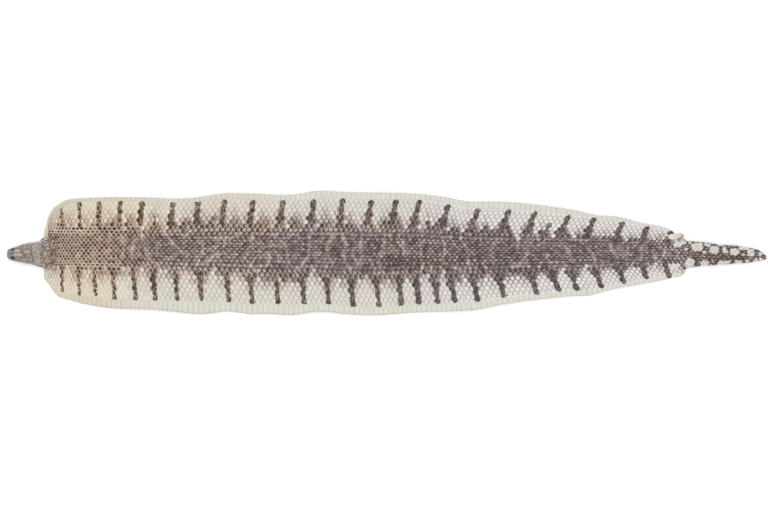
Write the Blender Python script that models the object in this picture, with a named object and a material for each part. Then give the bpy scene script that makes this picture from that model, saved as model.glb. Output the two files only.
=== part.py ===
"""Dried snake skin with its head on, opened along the belly and laid out flat.

The skin is one grown piece, so it is one closed solid: a low wedge head, a thin hide
whose margins lift a little from the ground, and a tapering tail that was never opened.
The snout points along -X, the tail along +X, the back faces up and the skin lies on z = 0.
Lengths are in millimetres until a point is placed.
"""

import math

import bmesh
import bpy
from mathutils import Vector

MM = 0.001

# Driving sizes
LENGTH = 759.0
SNOUT_X = -379.5
HIDE_THICKNESS = 1.0
MOUTH_DEPTH = 0.45
MOUTH_END = 25.0

# Edges of the skin as (distance from the snout, sideways), with the right side at +Y
RIGHT_EDGE = (
    (0.0, 0.4), (0.6, 2.4), (2.5, 3.6), (8.5, 5.5), (14.5, 7.6), (20.5, 9.3), (30.0, 10.4),
    (32.5, 12.5), (34.5, 17.0), (36.5, 20.0), (38.5, 26.5), (40.5, 34.5), (42.5, 39.0),
    (46.5, 44.6), (52.5, 48.6), (58.0, 51.8), (64.0, 53.2), (80.5, 54.2), (110.0, 55.3),
    (140.5, 55.0), (170.5, 53.6), (196.0, 55.6), (218.5, 59.0), (248.5, 58.6), (278.5, 57.5),
    (314.5, 61.6), (340.0, 60.0), (371.5, 59.6), (400.0, 59.0), (434.5, 55.8), (464.5, 50.8),
    (494.5, 50.5), (530.5, 47.4), (568.0, 41.8), (590.5, 37.0), (610.0, 36.0), (628.0, 31.0),
    (656.5, 25.2), (664.0, 22.3), (666.0, 19.2), (675.0, 17.5), (677.0, 13.2), (682.5, 11.6),
    (700.0, 9.8), (712.5, 7.8), (732.5, 6.5), (742.5, 4.6), (750.0, 2.8), (756.0, -1.0),
    (759.0, -4.2),
)
LEFT_EDGE = (
    (0.0, -3.2), (0.6, -5.4), (2.5, -7.2), (8.5, -8.7), (14.5, -10.0), (20.5, -11.0),
    (30.0, -13.6), (34.5, -16.6), (35.6, -20.0), (36.5, -27.0), (40.5, -30.6), (46.5, -39.4),
    (52.5, -44.6), (64.0, -47.8), (80.5, -52.0), (104.5, -55.4), (140.5, -56.6), (170.5, -59.4),
    (194.5, -61.6), (218.5, -58.7), (248.5, -62.0), (262.0, -60.8), (278.5, -62.4),
    (314.5, -58.7), (340.0, -61.6), (371.5, -62.4), (398.5, -60.5), (434.5, -58.9),
    (464.5, -57.4), (494.5, -51.8), (530.5, -46.8), (566.5, -43.6), (580.0, -43.2),
    (590.5, -40.6), (608.5, -35.7), (626.5, -32.3), (660.0, -26.6), (667.0, -24.2),
    (674.5, -21.6), (677.5, -18.4), (679.5, -16.0), (690.0, -13.8), (712.5, -12.3),
    (732.5, -10.6), (744.0, -9.8), (756.0, -7.8), (759.0, -6.0),
)

# Heights above the ground along the skin, as (distance from the snout, height)
CROWN = (
    (0.0, 2.5), (3.0, 4.3), (8.0, 5.6), (16.0, 7.2), (24.0, 7.6), (30.0, 6.6), (36.0, 4.4),
    (44.0, 2.5), (58.0, 1.4), (80.0, 1.0), (636.0, 1.0), (656.0, 2.0), (670.0, 4.2),
    (684.0, 5.9), (700.0, 6.2), (730.0, 4.9), (752.0, 3.4), (759.0, 2.0),
)
UPPER_LIP = (
    (0.0, 1.9), (6.0, 2.8), (16.0, 3.4), (26.0, 3.1), (34.0, 1.7), (40.0, 0.8), (60.0, 0.8),
    (674.0, 0.8), (684.0, 2.6), (700.0, 3.0), (740.0, 2.4), (759.0, 1.4),
)
LOWER_LIP = (
    (0.0, 1.2), (6.0, 1.8), (16.0, 2.2), (26.0, 1.8), (34.0, 0.6), (38.0, 0.0), (60.0, 0.0),
    (676.0, 0.0), (684.0, 1.4), (700.0, 1.8), (740.0, 1.4), (759.0, 0.8),
)
CHIN = ((0.0, 0.9), (3.0, 0.2), (6.0, 0.0), (746.0, 0.0), (759.0, 0.5))

# Half width of the rounded ridge, and how sharply it falls at its sides (0.5 is round)
RIDGE_HALF_WIDTH = (
    (0.0, 40.0), (30.0, 30.0), (38.0, 17.0), (60.0, 24.0), (90.0, 60.0), (620.0, 60.0),
    (648.0, 17.0), (672.0, 15.0), (684.0, 16.0), (759.0, 16.0),
)
RIDGE_FALL = (
    (0.0, 0.55), (28.0, 0.6), (38.0, 1.6), (60.0, 2.0), (660.0, 2.0), (676.0, 1.2),
    (690.0, 0.6), (759.0, 0.55),
)

# The margins lift from the ground between these stations, past this share of the half width
LIFT_STATIONS = ((0.0, 0.0), (36.0, 0.0), (70.0, 1.0), (610.0, 1.0), (662.0, 0.25), (690.0, 0.0))
LIFT_START = 0.55
LIFT_MEAN = 1.5
LIFT_WAVES = ((171.0, 0.75, 0.4), (83.0, 0.45, 2.1), (47.0, 0.2, 0.9))
LEFT_PHASE = 1.9

# Brows over the eyes, as (distance from the snout, sideways)
EYES = ((6.8, 3.2), (5.7, -5.1))
BROW_RADIUS = 2.6
BROW_HEIGHT = 0.9

# Rings of points around the skin: (up to this distance, spacing)
RING_SPACING = (
    (0.6, 0.6), (11.1, 1.5), (33.5, 2.24), (42.5, 1.0), (52.5, 2.5), (64.0, 3.83),
    (656.5, 12.9), (684.5, 2.0), (750.0, 6.55), (759.0, 1.8),
)
ACROSS = 18
AROUND = 2 * ACROSS + 4

FLANK_COLOUR = (0.62, 0.60, 0.55, 1.0)
BACK_COLOUR = (0.20, 0.165, 0.145, 1.0)
HEAD_COLOUR = (0.30, 0.255, 0.215, 1.0)
BACK_HALF_WIDTH = ((0.0, 40.0), (36.0, 17.0), (130.0, 22.0), (420.0, 25.0), (680.0, 14.0), (759.0, 14.0))
HEAD_END = 33.0


def smooth_curve(points):
    """Return a curve through the points that never overshoots them (monotone cubic)."""
    places = [place for place, _ in points]
    values = [value for _, value in points]
    gaps = [b - a for a, b in zip(places, places[1:])]
    steps = [(b - a) / gap for a, b, gap in zip(values, values[1:], gaps)]
    slopes = [steps[0]]
    for before, after in zip(steps, steps[1:]):
        slopes.append(0.0 if before * after <= 0.0 else 2.0 * before * after / (before + after))
    slopes.append(steps[-1])

    def value_at(place):
        if place <= places[0]:
            return values[0]
        if place >= places[-1]:
            return values[-1]
        i = max(index for index, start in enumerate(places[:-1]) if start <= place)
        t = (place - places[i]) / gaps[i]
        rise = values[i + 1] - values[i]
        bend_in = slopes[i] * gaps[i]
        bend_out = slopes[i + 1] * gaps[i]
        return values[i] + t * (bend_in + t * (3 * rise - 2 * bend_in - bend_out
                                               + t * (bend_in + bend_out - 2 * rise)))

    return value_at


right_edge = smooth_curve(RIGHT_EDGE)
left_edge = smooth_curve(LEFT_EDGE)
crown = smooth_curve(CROWN)
upper_lip = smooth_curve(UPPER_LIP)
lower_lip = smooth_curve(LOWER_LIP)
chin = smooth_curve(CHIN)
ridge_half_width = smooth_curve(RIDGE_HALF_WIDTH)
ridge_fall = smooth_curve(RIDGE_FALL)
lift_share = smooth_curve(LIFT_STATIONS)
back_half_width = smooth_curve(BACK_HALF_WIDTH)


def ring_stations():
    """Distances from the snout at which the rings of points stand."""
    stations = [0.0]
    for end, spacing in RING_SPACING:
        start = stations[-1]
        count = max(1, round((end - start) / spacing))
        stations.extend(start + (end - start) * (step + 1) / count for step in range(count))
    return stations


def margin_lift(station, across):
    """Height by which a margin stands off the ground: low waves that grow to the edge."""
    reach = max(0.0, (abs(across) - LIFT_START) / (1.0 - LIFT_START))
    phase = 0.0 if across > 0.0 else LEFT_PHASE
    waves = sum(size * math.sin(math.tau * station / length + start + phase * (1.0 + 40.0 / length))
                for length, size, start in LIFT_WAVES)
    return lift_share(station) * reach * reach * max(0.2, LIFT_MEAN + waves)


def brow(station, side):
    """Extra height over an eye."""
    rise = 0.0
    for eye_station, eye_side in EYES:
        away = math.hypot(station - eye_station, side - eye_side) / BROW_RADIUS
        if away < 1.0:
            rise = max(rise, BROW_HEIGHT * (1.0 - away * away) ** 2)
    return rise


def spread(share, station):
    """Place from -1 to 1 across the skin: even on the hide, closer at the sides of a round part."""
    even = 2.0 * share - 1.0
    rounded = math.sin(0.5 * math.pi * even)
    roundness = min(1.0, max(0.0, (upper_lip(station) - 0.8) / 1.2))
    return even + (rounded - even) * roundness


def skin_point(station, index):
    """Point of the ring at a station: over the back, down one side, under the belly and up."""
    right = right_edge(station)
    left = left_edge(station)
    middle = 0.5 * (right + left)
    half = 0.5 * (right - left)
    high = upper_lip(station)
    low = lower_lip(station)
    if index in (ACROSS + 1, 2 * ACROSS + 3):
        across = 1.0 if index == ACROSS + 1 else -1.0
        inset = MOUTH_DEPTH if station < MOUTH_END else 0.0
        side = middle + across * (half - min(inset, 0.2 * half))
        height = 0.5 * (high + low) + margin_lift(station, across)
        return side, height
    if index <= ACROSS:
        across = spread(index / ACROSS, station)
        side = middle + across * half
        ridge = min(half, ridge_half_width(station))
        fall = max(0.0, 1.0 - ((side - middle) / ridge) ** 2) ** ridge_fall(station)
        height = high + (max(crown(station), high) - high) * fall + brow(station, side)
    else:
        across = spread(1.0 - (index - ACROSS - 2) / ACROSS, station)
        side = middle + across * half
        floor = min(chin(station), low) if station < MOUTH_END else min(chin(station), max(low, 0.0))
        height = floor + (low - floor) * across ** 4
    return side, height + margin_lift(station, across)


def build_skin_mesh():
    """Wrap a grid around the skin, close its seam and cap the snout and the tail tip."""
    stations = ring_stations()
    rows = len(stations) - 1
    bm = bmesh.new()
    bmesh.ops.create_grid(bm, x_segments=rows, y_segments=AROUND, size=1.0)
    for vert in bm.verts:
        station = stations[round(0.5 * (vert.co.x + 1.0) * rows)]
        index = round(0.5 * (vert.co.y + 1.0) * AROUND) % AROUND
        side, height = skin_point(station, index)
        vert.co = Vector((SNOUT_X + station, side, height)) * MM
    bmesh.ops.remove_doubles(bm, verts=bm.verts[:], dist=0.001 * MM)
    open_edges = [edge for edge in bm.edges if edge.is_boundary]
    caps = bmesh.ops.holes_fill(bm, edges=open_edges, sides=0)["faces"]
    bmesh.ops.poke(bm, faces=caps)
    bmesh.ops.recalc_face_normals(bm, faces=bm.faces[:])
    return bm


def paint(bm):
    """Give the top of the back and the head their own material slots; the rest is flank."""
    for face in bm.faces:
        centre = face.calc_center_median() / MM
        station = centre.x - SNOUT_X
        middle = 0.5 * (right_edge(station) + left_edge(station))
        if station < HEAD_END:
            face.material_index = 2
        elif face.normal.z > 0.0 and abs(centre.y - middle) < back_half_width(station):
            face.material_index = 1
        face.smooth = True


def skin_material(name, colour, roughness):
    """Principled material of one colour."""
    material = bpy.data.materials.new(name)
    material.use_nodes = True
    shader = material.node_tree.nodes["Principled BSDF"]
    shader.inputs["Base Color"].default_value = colour
    shader.inputs["Roughness"].default_value = roughness
    shader.inputs["Metallic"].default_value = 0.0
    return material


def main():
    for thing in list(bpy.data.objects):
        bpy.data.objects.remove(thing)
    collection = bpy.data.collections.new("snake_skin_with_head")
    bpy.context.scene.collection.children.link(collection)

    bm = build_skin_mesh()
    paint(bm)
    mesh = bpy.data.meshes.new("snake_skin")
    bm.to_mesh(mesh)
    bm.free()
    mesh.materials.append(skin_material("flank_scales", FLANK_COLOUR, 0.5))
    mesh.materials.append(skin_material("back_scales", BACK_COLOUR, 0.5))
    mesh.materials.append(skin_material("head_shields", HEAD_COLOUR, 0.45))
    mesh.set_sharp_from_angle(angle=math.radians(50.0))
    skin = bpy.data.objects.new("snake_skin", mesh)
    collection.objects.link(skin)


main()
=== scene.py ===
"""Looks of a dried snake skin with its head on, laid out flat with its back up.

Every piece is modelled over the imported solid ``snake_skin``, whose outline and heights
it follows.  Places along the skin are millimetres from the tip of the snout, and
sideways places are millimetres from the middle line, with the animal's right side up.
"""

import logging
import math
from dataclasses import dataclass, field
from enum import Enum
from typing import Sequence

import bmesh
import bpy
import numpy as np
from mathutils import Matrix, Vector, noise
from mathutils.bvhtree import BVHTree
from mathutils.kdtree import KDTree


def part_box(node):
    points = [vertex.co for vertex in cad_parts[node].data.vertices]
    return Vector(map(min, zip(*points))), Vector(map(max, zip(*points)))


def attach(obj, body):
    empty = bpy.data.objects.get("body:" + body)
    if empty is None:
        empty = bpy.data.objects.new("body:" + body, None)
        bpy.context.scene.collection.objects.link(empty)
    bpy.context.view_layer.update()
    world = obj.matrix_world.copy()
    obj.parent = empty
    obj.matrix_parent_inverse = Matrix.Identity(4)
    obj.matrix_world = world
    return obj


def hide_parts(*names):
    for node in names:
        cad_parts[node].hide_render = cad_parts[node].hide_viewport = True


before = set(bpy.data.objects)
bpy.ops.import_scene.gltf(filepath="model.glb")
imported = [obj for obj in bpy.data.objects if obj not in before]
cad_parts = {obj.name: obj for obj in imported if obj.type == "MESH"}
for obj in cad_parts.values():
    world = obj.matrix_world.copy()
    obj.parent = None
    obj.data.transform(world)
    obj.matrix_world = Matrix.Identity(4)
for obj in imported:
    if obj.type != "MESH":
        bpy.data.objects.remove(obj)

logging.basicConfig(level=logging.INFO, format="%(message)s")
LOG = logging.getLogger("snake_skin")

MM = 0.001
SOLID = "snake_skin"
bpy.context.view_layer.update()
# How much brighter than its own colour a surface shows in the studio's light
LIT = 1.15
SNOUT_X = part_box(SOLID)[0].x / MM
TAIL_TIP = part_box(SOLID)[1].x / MM - SNOUT_X

Point2 = tuple[float, float]
Colour = tuple[float, float, float]
Stops = tuple[tuple[float, Colour], ...]
Vert = bmesh.types.BMVert
Piece = bpy.types.Object


class Side(Enum):
    """Flank of the snake, with the sign of its sideways places."""

    RIGHT = 1
    LEFT = -1

    @classmethod
    def of(cls, sideways: float) -> "Side":
        """Return the flank that a sideways place lies on."""
        return cls.RIGHT if sideways > 0.0 else cls.LEFT


def clamp(value: float, low: float = 0.0, high: float = 1.0) -> float:
    """Return the value kept between low and high."""
    return max(low, min(high, value))


def smooth(low: float, high: float, value: float) -> float:
    """Return 0 below low, 1 above high and a soft step between them."""
    share = clamp((value - low) / (high - low))
    return share * share * (3.0 - 2.0 * share)


def mix(first: float, second: float, share: float) -> float:
    """Return the value that lies at this share of the way from first to second."""
    return first + (second - first) * share


def srgb(*levels: int) -> Colour:
    """Return the linear colour of a surface that shows as these screen values in the studio.

    Args:
        levels: Red, green and blue, from 0 to 255.

    Returns:
        Linear levels, less what the studio's light adds.
    """
    shares = [level / 255.0 for level in levels]
    return tuple((s / 12.92 if s <= 0.04045 else ((s + 0.055) / 1.055) ** 2.4) / LIT for s in shares)


def chance(seed: int, *keys: float) -> float:
    """Return a number from 0 to 1 that depends only on the seed and the keys.

    Args:
        seed: Which series the number belongs to.
        keys: Places or counts, rounded to a hundredth.
    """
    spot = seed * 37.719 + sum(round(key, 2) * (12.9898 + 65.2432 * index) for index, key in enumerate(keys))
    return math.sin(spot) * 43758.5453 % 1.0


def ripple(size: float, *spot: float) -> float:
    """Return soft noise from -1 to 1 whose lumps are about this size."""
    return noise.noise(Vector((*spot, 0.0, 0.0)[:3]) / size)


class Curve:
    """A curve through points that never overshoots them."""

    def __init__(self, *points: Point2) -> None:
        """Work out the slopes.

        Args:
            points: Place and value of each point, by rising place.
        """
        self.places = [place for place, _ in points]
        self.values = [value for _, value in points]
        self.gaps = [b - a for a, b in zip(self.places, self.places[1:])]
        steps = [(b - a) / gap for a, b, gap in zip(self.values, self.values[1:], self.gaps)]
        inner = [0.0 if a * b <= 0.0 else 2.0 * a * b / (a + b) for a, b in zip(steps, steps[1:])]
        self.slopes = [steps[0], *inner, steps[-1]]
        self.last = 0

    def __call__(self, place: float) -> float:
        """Return the curve's value at a place.

        Args:
            place: Where along the curve.

        Returns:
            The value, which stays level beyond the ends.
        """
        if place <= self.places[0]:
            return self.values[0]
        if place >= self.places[-1]:
            return self.values[-1]
        i = self.last
        if not self.places[i] <= place <= self.places[i + 1]:
            i = int(np.searchsorted(self.places, place, side="right")) - 1
            self.last = i
        t = (place - self.places[i]) / self.gaps[i]
        rise = self.values[i + 1] - self.values[i]
        start, end = self.slopes[i] * self.gaps[i], self.slopes[i + 1] * self.gaps[i]
        return self.values[i] + t * (start + t * (3 * rise - 2 * start - end + t * (start + end - 2 * rise)))


class Solid:
    """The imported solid: its edges along the skin, and its heights at any place."""

    # Height above and below the skin, in metres, from which its surface is looked for
    TOP_Z = 0.05

    def __init__(self, node: str) -> None:
        """Read the sections and make a tree for finding heights.

        Args:
            node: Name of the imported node.
        """
        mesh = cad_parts[node].data
        rings: dict[int, list[Vector]] = {}
        for vert in mesh.vertices:
            rings.setdefault(round(vert.co.x * 1e5), []).append(vert.co / MM)
        ordered = [ring for _, ring in sorted(rings.items())]
        self.sections = [(sum(v.x for v in ring) / len(ring) - SNOUT_X, ring) for ring in ordered]
        self.right = Curve(*[(s, max(v.y for v in ring)) for s, ring in self.sections])
        self.left = Curve(*[(s, min(v.y for v in ring)) for s, ring in self.sections])
        self.crown = Curve(*[(s, max(v.z for v in ring)) for s, ring in self.sections])
        mesh.calc_loop_triangles()
        corners = [v.co for v in mesh.vertices]
        self.tree = BVHTree.FromPolygons(corners, [tuple(t.vertices) for t in mesh.loop_triangles])

    def edge(self, station: float, side: Side) -> float:
        """Return the sideways place of the edge on one side."""
        return self.right(station) if side is Side.RIGHT else self.left(station)

    def height(self, station: float, sideways: float, above: bool = True) -> float:
        """Return the height of the solid's upper or lower surface.

        Args:
            station: Distance from the snout.
            sideways: Distance from the middle line.
            above: Whether the upper surface is meant.

        Returns:
            The height in millimetres, taken at the nearest place inside the edges.
        """
        margin = 0.02
        low, high = self.left(station) + margin, self.right(station) - margin
        start_z = self.TOP_Z if above else -self.TOP_Z
        start = Vector(((SNOUT_X + station) * MM, clamp(sideways, low, high) * MM, start_z))
        hit = self.tree.ray_cast(start, Vector((0.0, 0.0, -1.0 if above else 1.0)))[0]
        if hit is None:
            hit = self.tree.find_nearest(start)[0]
        return hit.z / MM


solid = Solid(SOLID)


class Tube:
    """A round part of the solid, as rings of evenly spaced points around it."""

    SAMPLES = 96

    def __init__(self, first: float, last: float) -> None:
        """Take the solid's sections between two stations.

        Args:
            first: Station of the first section.
            last: Station of the last one.
        """
        chosen = [(s, ring) for s, ring in solid.sections if first <= s <= last and len(ring) > 8]
        self.stations = np.array([s for s, _ in chosen])
        self.rings = np.array([self.even_ring(ring) for _, ring in chosen])

    @classmethod
    def even_ring(cls, ring: Sequence[Vector]) -> np.ndarray:
        """Return points at even distances round a ring.

        Args:
            ring: Points of one section, in any order.

        Returns:
            Sideways places and heights, from underneath over the left side and the top.
        """
        centre = Vector((0.5 * (max(v.y for v in ring) + min(v.y for v in ring)),
                         0.5 * (max(v.z for v in ring) + min(v.z for v in ring))))
        polar = sorted((math.atan2(v.y - centre.x, 2.0 * (v.z - centre.y)), v.y, v.z) for v in ring)
        turn = math.tau
        closed = [(a - turn, y, z) for a, y, z in polar] + polar + [(a + turn, y, z) for a, y, z in polar]
        angles = np.array([a for a, _, _ in closed])
        # Every half degree round the ring
        fine = np.linspace(-math.pi, math.pi, 721)
        points = np.stack([np.interp(fine, angles, [c[k] for c in closed]) for k in (1, 2)], axis=1)
        lengths = np.concatenate([[0.0], np.cumsum(np.hypot(*np.diff(points, axis=0).T))])
        wanted = np.linspace(0.0, lengths[-1], cls.SAMPLES + 1)
        return np.stack([np.interp(wanted, lengths, points[:, k]) for k in (0, 1)], axis=1)

    def ring(self, station: float) -> np.ndarray:
        """Return the ring of points at a station.

        Args:
            station: Distance from the snout.

        Returns:
            Sideways places and heights, between those of the two nearest sections.
        """
        index = int(np.clip(np.searchsorted(self.stations, station) - 1, 0, len(self.stations) - 2))
        low, high = self.stations[index], self.stations[index + 1]
        share = clamp((station - low) / (high - low))
        return self.rings[index] * (1.0 - share) + self.rings[index + 1] * share

    def point(self, ring: np.ndarray, share: float, relief: float) -> Point2:
        """Return a point on or off a ring.

        Args:
            ring: Points round the part.
            share: 0 on top, 0.5 and -0.5 underneath, above 0 on the right side.
            relief: Distance outwards from the ring.

        Returns:
            Sideways place and height.
        """
        spot = (share + 0.5) * self.SAMPLES
        low = int(clamp(math.floor(spot), 0, self.SAMPLES - 1))
        first, second = ring[low], ring[low + 1]
        flat = first + (second - first) * (spot - low)
        before, after = ring[max(0, low - 1)], ring[min(self.SAMPLES, low + 2)]
        tangent = after - before
        length = max(1e-6, math.hypot(*tangent))
        return flat[0] - relief * tangent[1] / length, flat[1] + relief * tangent[0] / length


def place(station: float, sideways: float, height: float) -> Vector:
    """Return a place on the skin as a point of the frame, in metres."""
    return Vector((SNOUT_X + station, sideways, height)) * MM


# Markings


@dataclass(frozen=True)
class Bar:
    """A dark bar across a flank, from its tip near the belly down to its foot on the back."""

    tip: Point2
    foot: Point2
    # Half width of the stem, size of the knob at the tip, and how much wider the foot is
    half_width: float
    blob: float
    flare: float
    blur: float = 1.3
    # How far the evenly dark stem runs on into the back
    inside: float = 3.0

    def centre(self, sideways: float) -> float:
        """Return the distance from the snout of the bar's middle line."""
        return mix(self.tip[0], self.foot[0], (sideways - self.tip[1]) / (self.foot[1] - self.tip[1]))

    def cover(self, station: float, sideways: float) -> tuple[float, float]:
        """Return how deep a place lies in the bar: 0 outside, 0.5 on its edge, 1 inside.

        Args:
            station: Distance from the snout.
            sideways: Distance from the middle line.

        Returns:
            The depth in the solid outer part, and in the foot, which is scaled as the back is.
        """
        reach = abs(self.foot[1] - self.tip[1])
        along = (sideways - self.tip[1]) / (self.foot[1] - self.tip[1]) * reach
        if not -3.0 < along < reach + 8.0:
            return 0.0, 0.0
        middle = 0.4 * reach
        beside = abs(station - self.centre(sideways))
        rough = 0.8 * ripple(2.2, station, sideways, 4.0)
        stem = self.half_width - beside + 0.5 * math.sin(along * 1.5 + self.tip[0])
        knob = self.blob - math.hypot(beside * 1.05, along - self.blob + 0.6)
        outer = max(min(stem, along - 1.0, reach + self.inside - along), knob)
        width = self.half_width - 0.4 + self.flare * smooth(min(reach - 9.0, middle), reach, along)
        foot = min(width - beside, along - middle)
        return clamp(0.5 + 0.5 * (outer + rough) / self.blur), clamp(0.5 + 0.5 * (foot + rough) / self.blur)


@dataclass(frozen=True)
class Patch:
    """A pale or dark patch at the root of the tail or on the tail."""

    spot: Point2
    half_length: float
    half_width: float
    turn: float = 0.0
    dark: bool = False

    def cover(self, station: float, sideways: float) -> float:
        """Return how far a place lies in the patch: 0 outside and 1 inside.

        Args:
            station: Distance from the snout.
            sideways: Distance from the middle line.

        Returns:
            The share that the patch covers.
        """
        x, y = station - self.spot[0], sideways - self.spot[1]
        if abs(x) + abs(y) > 2.0 * (self.half_length + self.half_width):
            return 0.0
        angle = math.radians(self.turn)
        along = abs(x * math.cos(angle) + y * math.sin(angle)) / self.half_length
        beside = abs(y * math.cos(angle) - x * math.sin(angle)) / self.half_width
        outward = (along ** 3 + beside ** 3) ** (1.0 / 3.0) - 1.0
        ragged = mix(0.5, 1.1, smooth(682.0, 690.0, self.spot[0])) * ripple(1.9, station, sideways, 6.0)
        return 1.0 - smooth(-0.55, 0.15, outward * min(self.half_length, self.half_width) + ragged)


@dataclass(frozen=True)
class Flank:
    """How one side of the skin is marked, with places as (distance from the snout, sideways)."""

    side: Side
    # Tips of the bars
    tips: tuple[Point2, ...]
    # Half width of the bars' stems
    stem: Curve
    # Half width of the dark back
    back: Curve
    # Points of the pale wedges that reach into the back, and how fast the wedges widen
    wedges: tuple[Point2, ...]
    widening: float
    # How far rows across the skin slip back for each millimetre from the middle
    lean: Curve
    short_bars: tuple[Bar, ...] = ()


RIGHT_FLANK = Flank(
    side=Side.RIGHT,
    tips=(
        (53.5, 46.5), (72, 49.8), (92, 51), (113, 51.5), (134.8, 50.8), (165.8, 50),
        (191.2, 51.5), (217.2, 52.7), (245.5, 51.5), (275.5, 52.1), (306.5, 52.7), (335.5, 53.5),
        (363.5, 51.5), (388.8, 52.7), (411.8, 52.1), (440.5, 47.6), (470.5, 43.8), (501.5, 42.5),
        (528, 40.5), (561, 37), (586.5, 34.5), (615, 30.5), (639.5, 25.6), (664, 21.6),
    ),
    stem=Curve((53.0, 1.5), (72.0, 1.7), (92.0, 2.1), (135.0, 2.4)),
    back=Curve(
        (40, 28), (60, 28.5), (100, 29), (150, 32), (190, 32), (250, 34),
        (340, 32.5), (400, 30.5), (450, 27.5), (500, 24.5), (560, 20), (600, 17),
        (640, 13.5), (660, 12), (690, 9), (759, 5),
    ),
    wedges=(
        (117, 24), (135.5, 17), (157, 19), (171.5, 22), (199.5, 25.5), (222, 26),
        (235, 24), (249, 25), (264.5, 22), (279.5, 23.5), (295.5, 23.5), (309.5, 25),
        (324.5, 24), (338.5, 25), (350.5, 21), (370, 22.5), (397, 20), (413.5, 19.5),
        (425.5, 21.5), (440.5, 17.5), (454.5, 14.5), (471.5, 16), (489, 13.5), (510.5, 11.5),
        (528, 12.5), (546.5, 10), (565, 10), (589.5, 11.5), (618.5, 8), (645.5, 7.5),
    ),
    widening=1.5,
    lean=Curve(
        (40, -0.1), (90, 0.02), (130, 0.1), (250, 0.14), (380, 0.17), (440, 0.28),
        (640, 0.30),
    ),
    short_bars=(
        Bar(tip=(147.5, 36.0), foot=(147.3, 26.0), half_width=0.8, blob=0.8, flare=4.0),
        Bar(tip=(543.0, 29.5), foot=(535.0, 15.0), half_width=2.5, blob=3.2, flare=3.0),
    ),
)
LEFT_FLANK = Flank(
    side=Side.LEFT,
    tips=(
        (55, -39.5), (72.2, -42.9), (88.2, -42.9), (107.3, -47.5), (128.3, -47.5), (148.1, -48),
        (170, -48), (194.2, -48), (221.5, -49.9), (244.9, -51.2), (270.5, -51.2), (296.9, -51.2),
        (321.5, -52.2), (345.8, -54.4), (371.5, -54.4), (393.9, -53.1), (411.8, -51.9), (430.5, -51.2),
        (447.5, -49.9), (470.2, -48.7), (496.7, -44.8), (529.9, -42), (551.5, -38.5), (570.1, -38.2),
        (594.3, -35.5), (616.3, -31), (638.9, -26), (662.1, -25.5),
    ),
    stem=Curve((55.0, 1.5), (107.0, 1.8), (128.0, 2.1), (300.0, 2.15), (400.0, 2.4)),
    back=Curve(
        (40, 14), (60, 17.5), (100, 20), (140, 23), (200, 25), (260, 27),
        (340, 28), (420, 27.5), (470, 26), (520, 24), (580, 19), (620, 15.5),
        (660, 12), (690, 13), (759, 12),
    ),
    wedges=(
        (98, -15.5), (117.5, -14.5), (136, -11.5), (156, -13), (178.5, -11.5), (205, -13),
        (229, -16), (254.5, -22.5), (281, -22), (305.5, -15.5), (331, -21.5), (359, -17.5),
        (380.5, -21.5), (398.5, -20), (418.5, -16.5), (435, -15), (456.5, -20.5), (478.5, -20.5),
        (506.5, -21), (536.5, -14.5), (554.5, -11), (578.5, -10), (600.5, -11), (624.5, -8.5),
        (647.5, -7),
    ),
    widening=1.15,
    lean=Curve(
        (40, 0.02), (130, 0.09), (400, 0.11), (430, 0.17), (500, 0.22), (530, 0.27),
        (640, 0.27),
    ),
)


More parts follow.
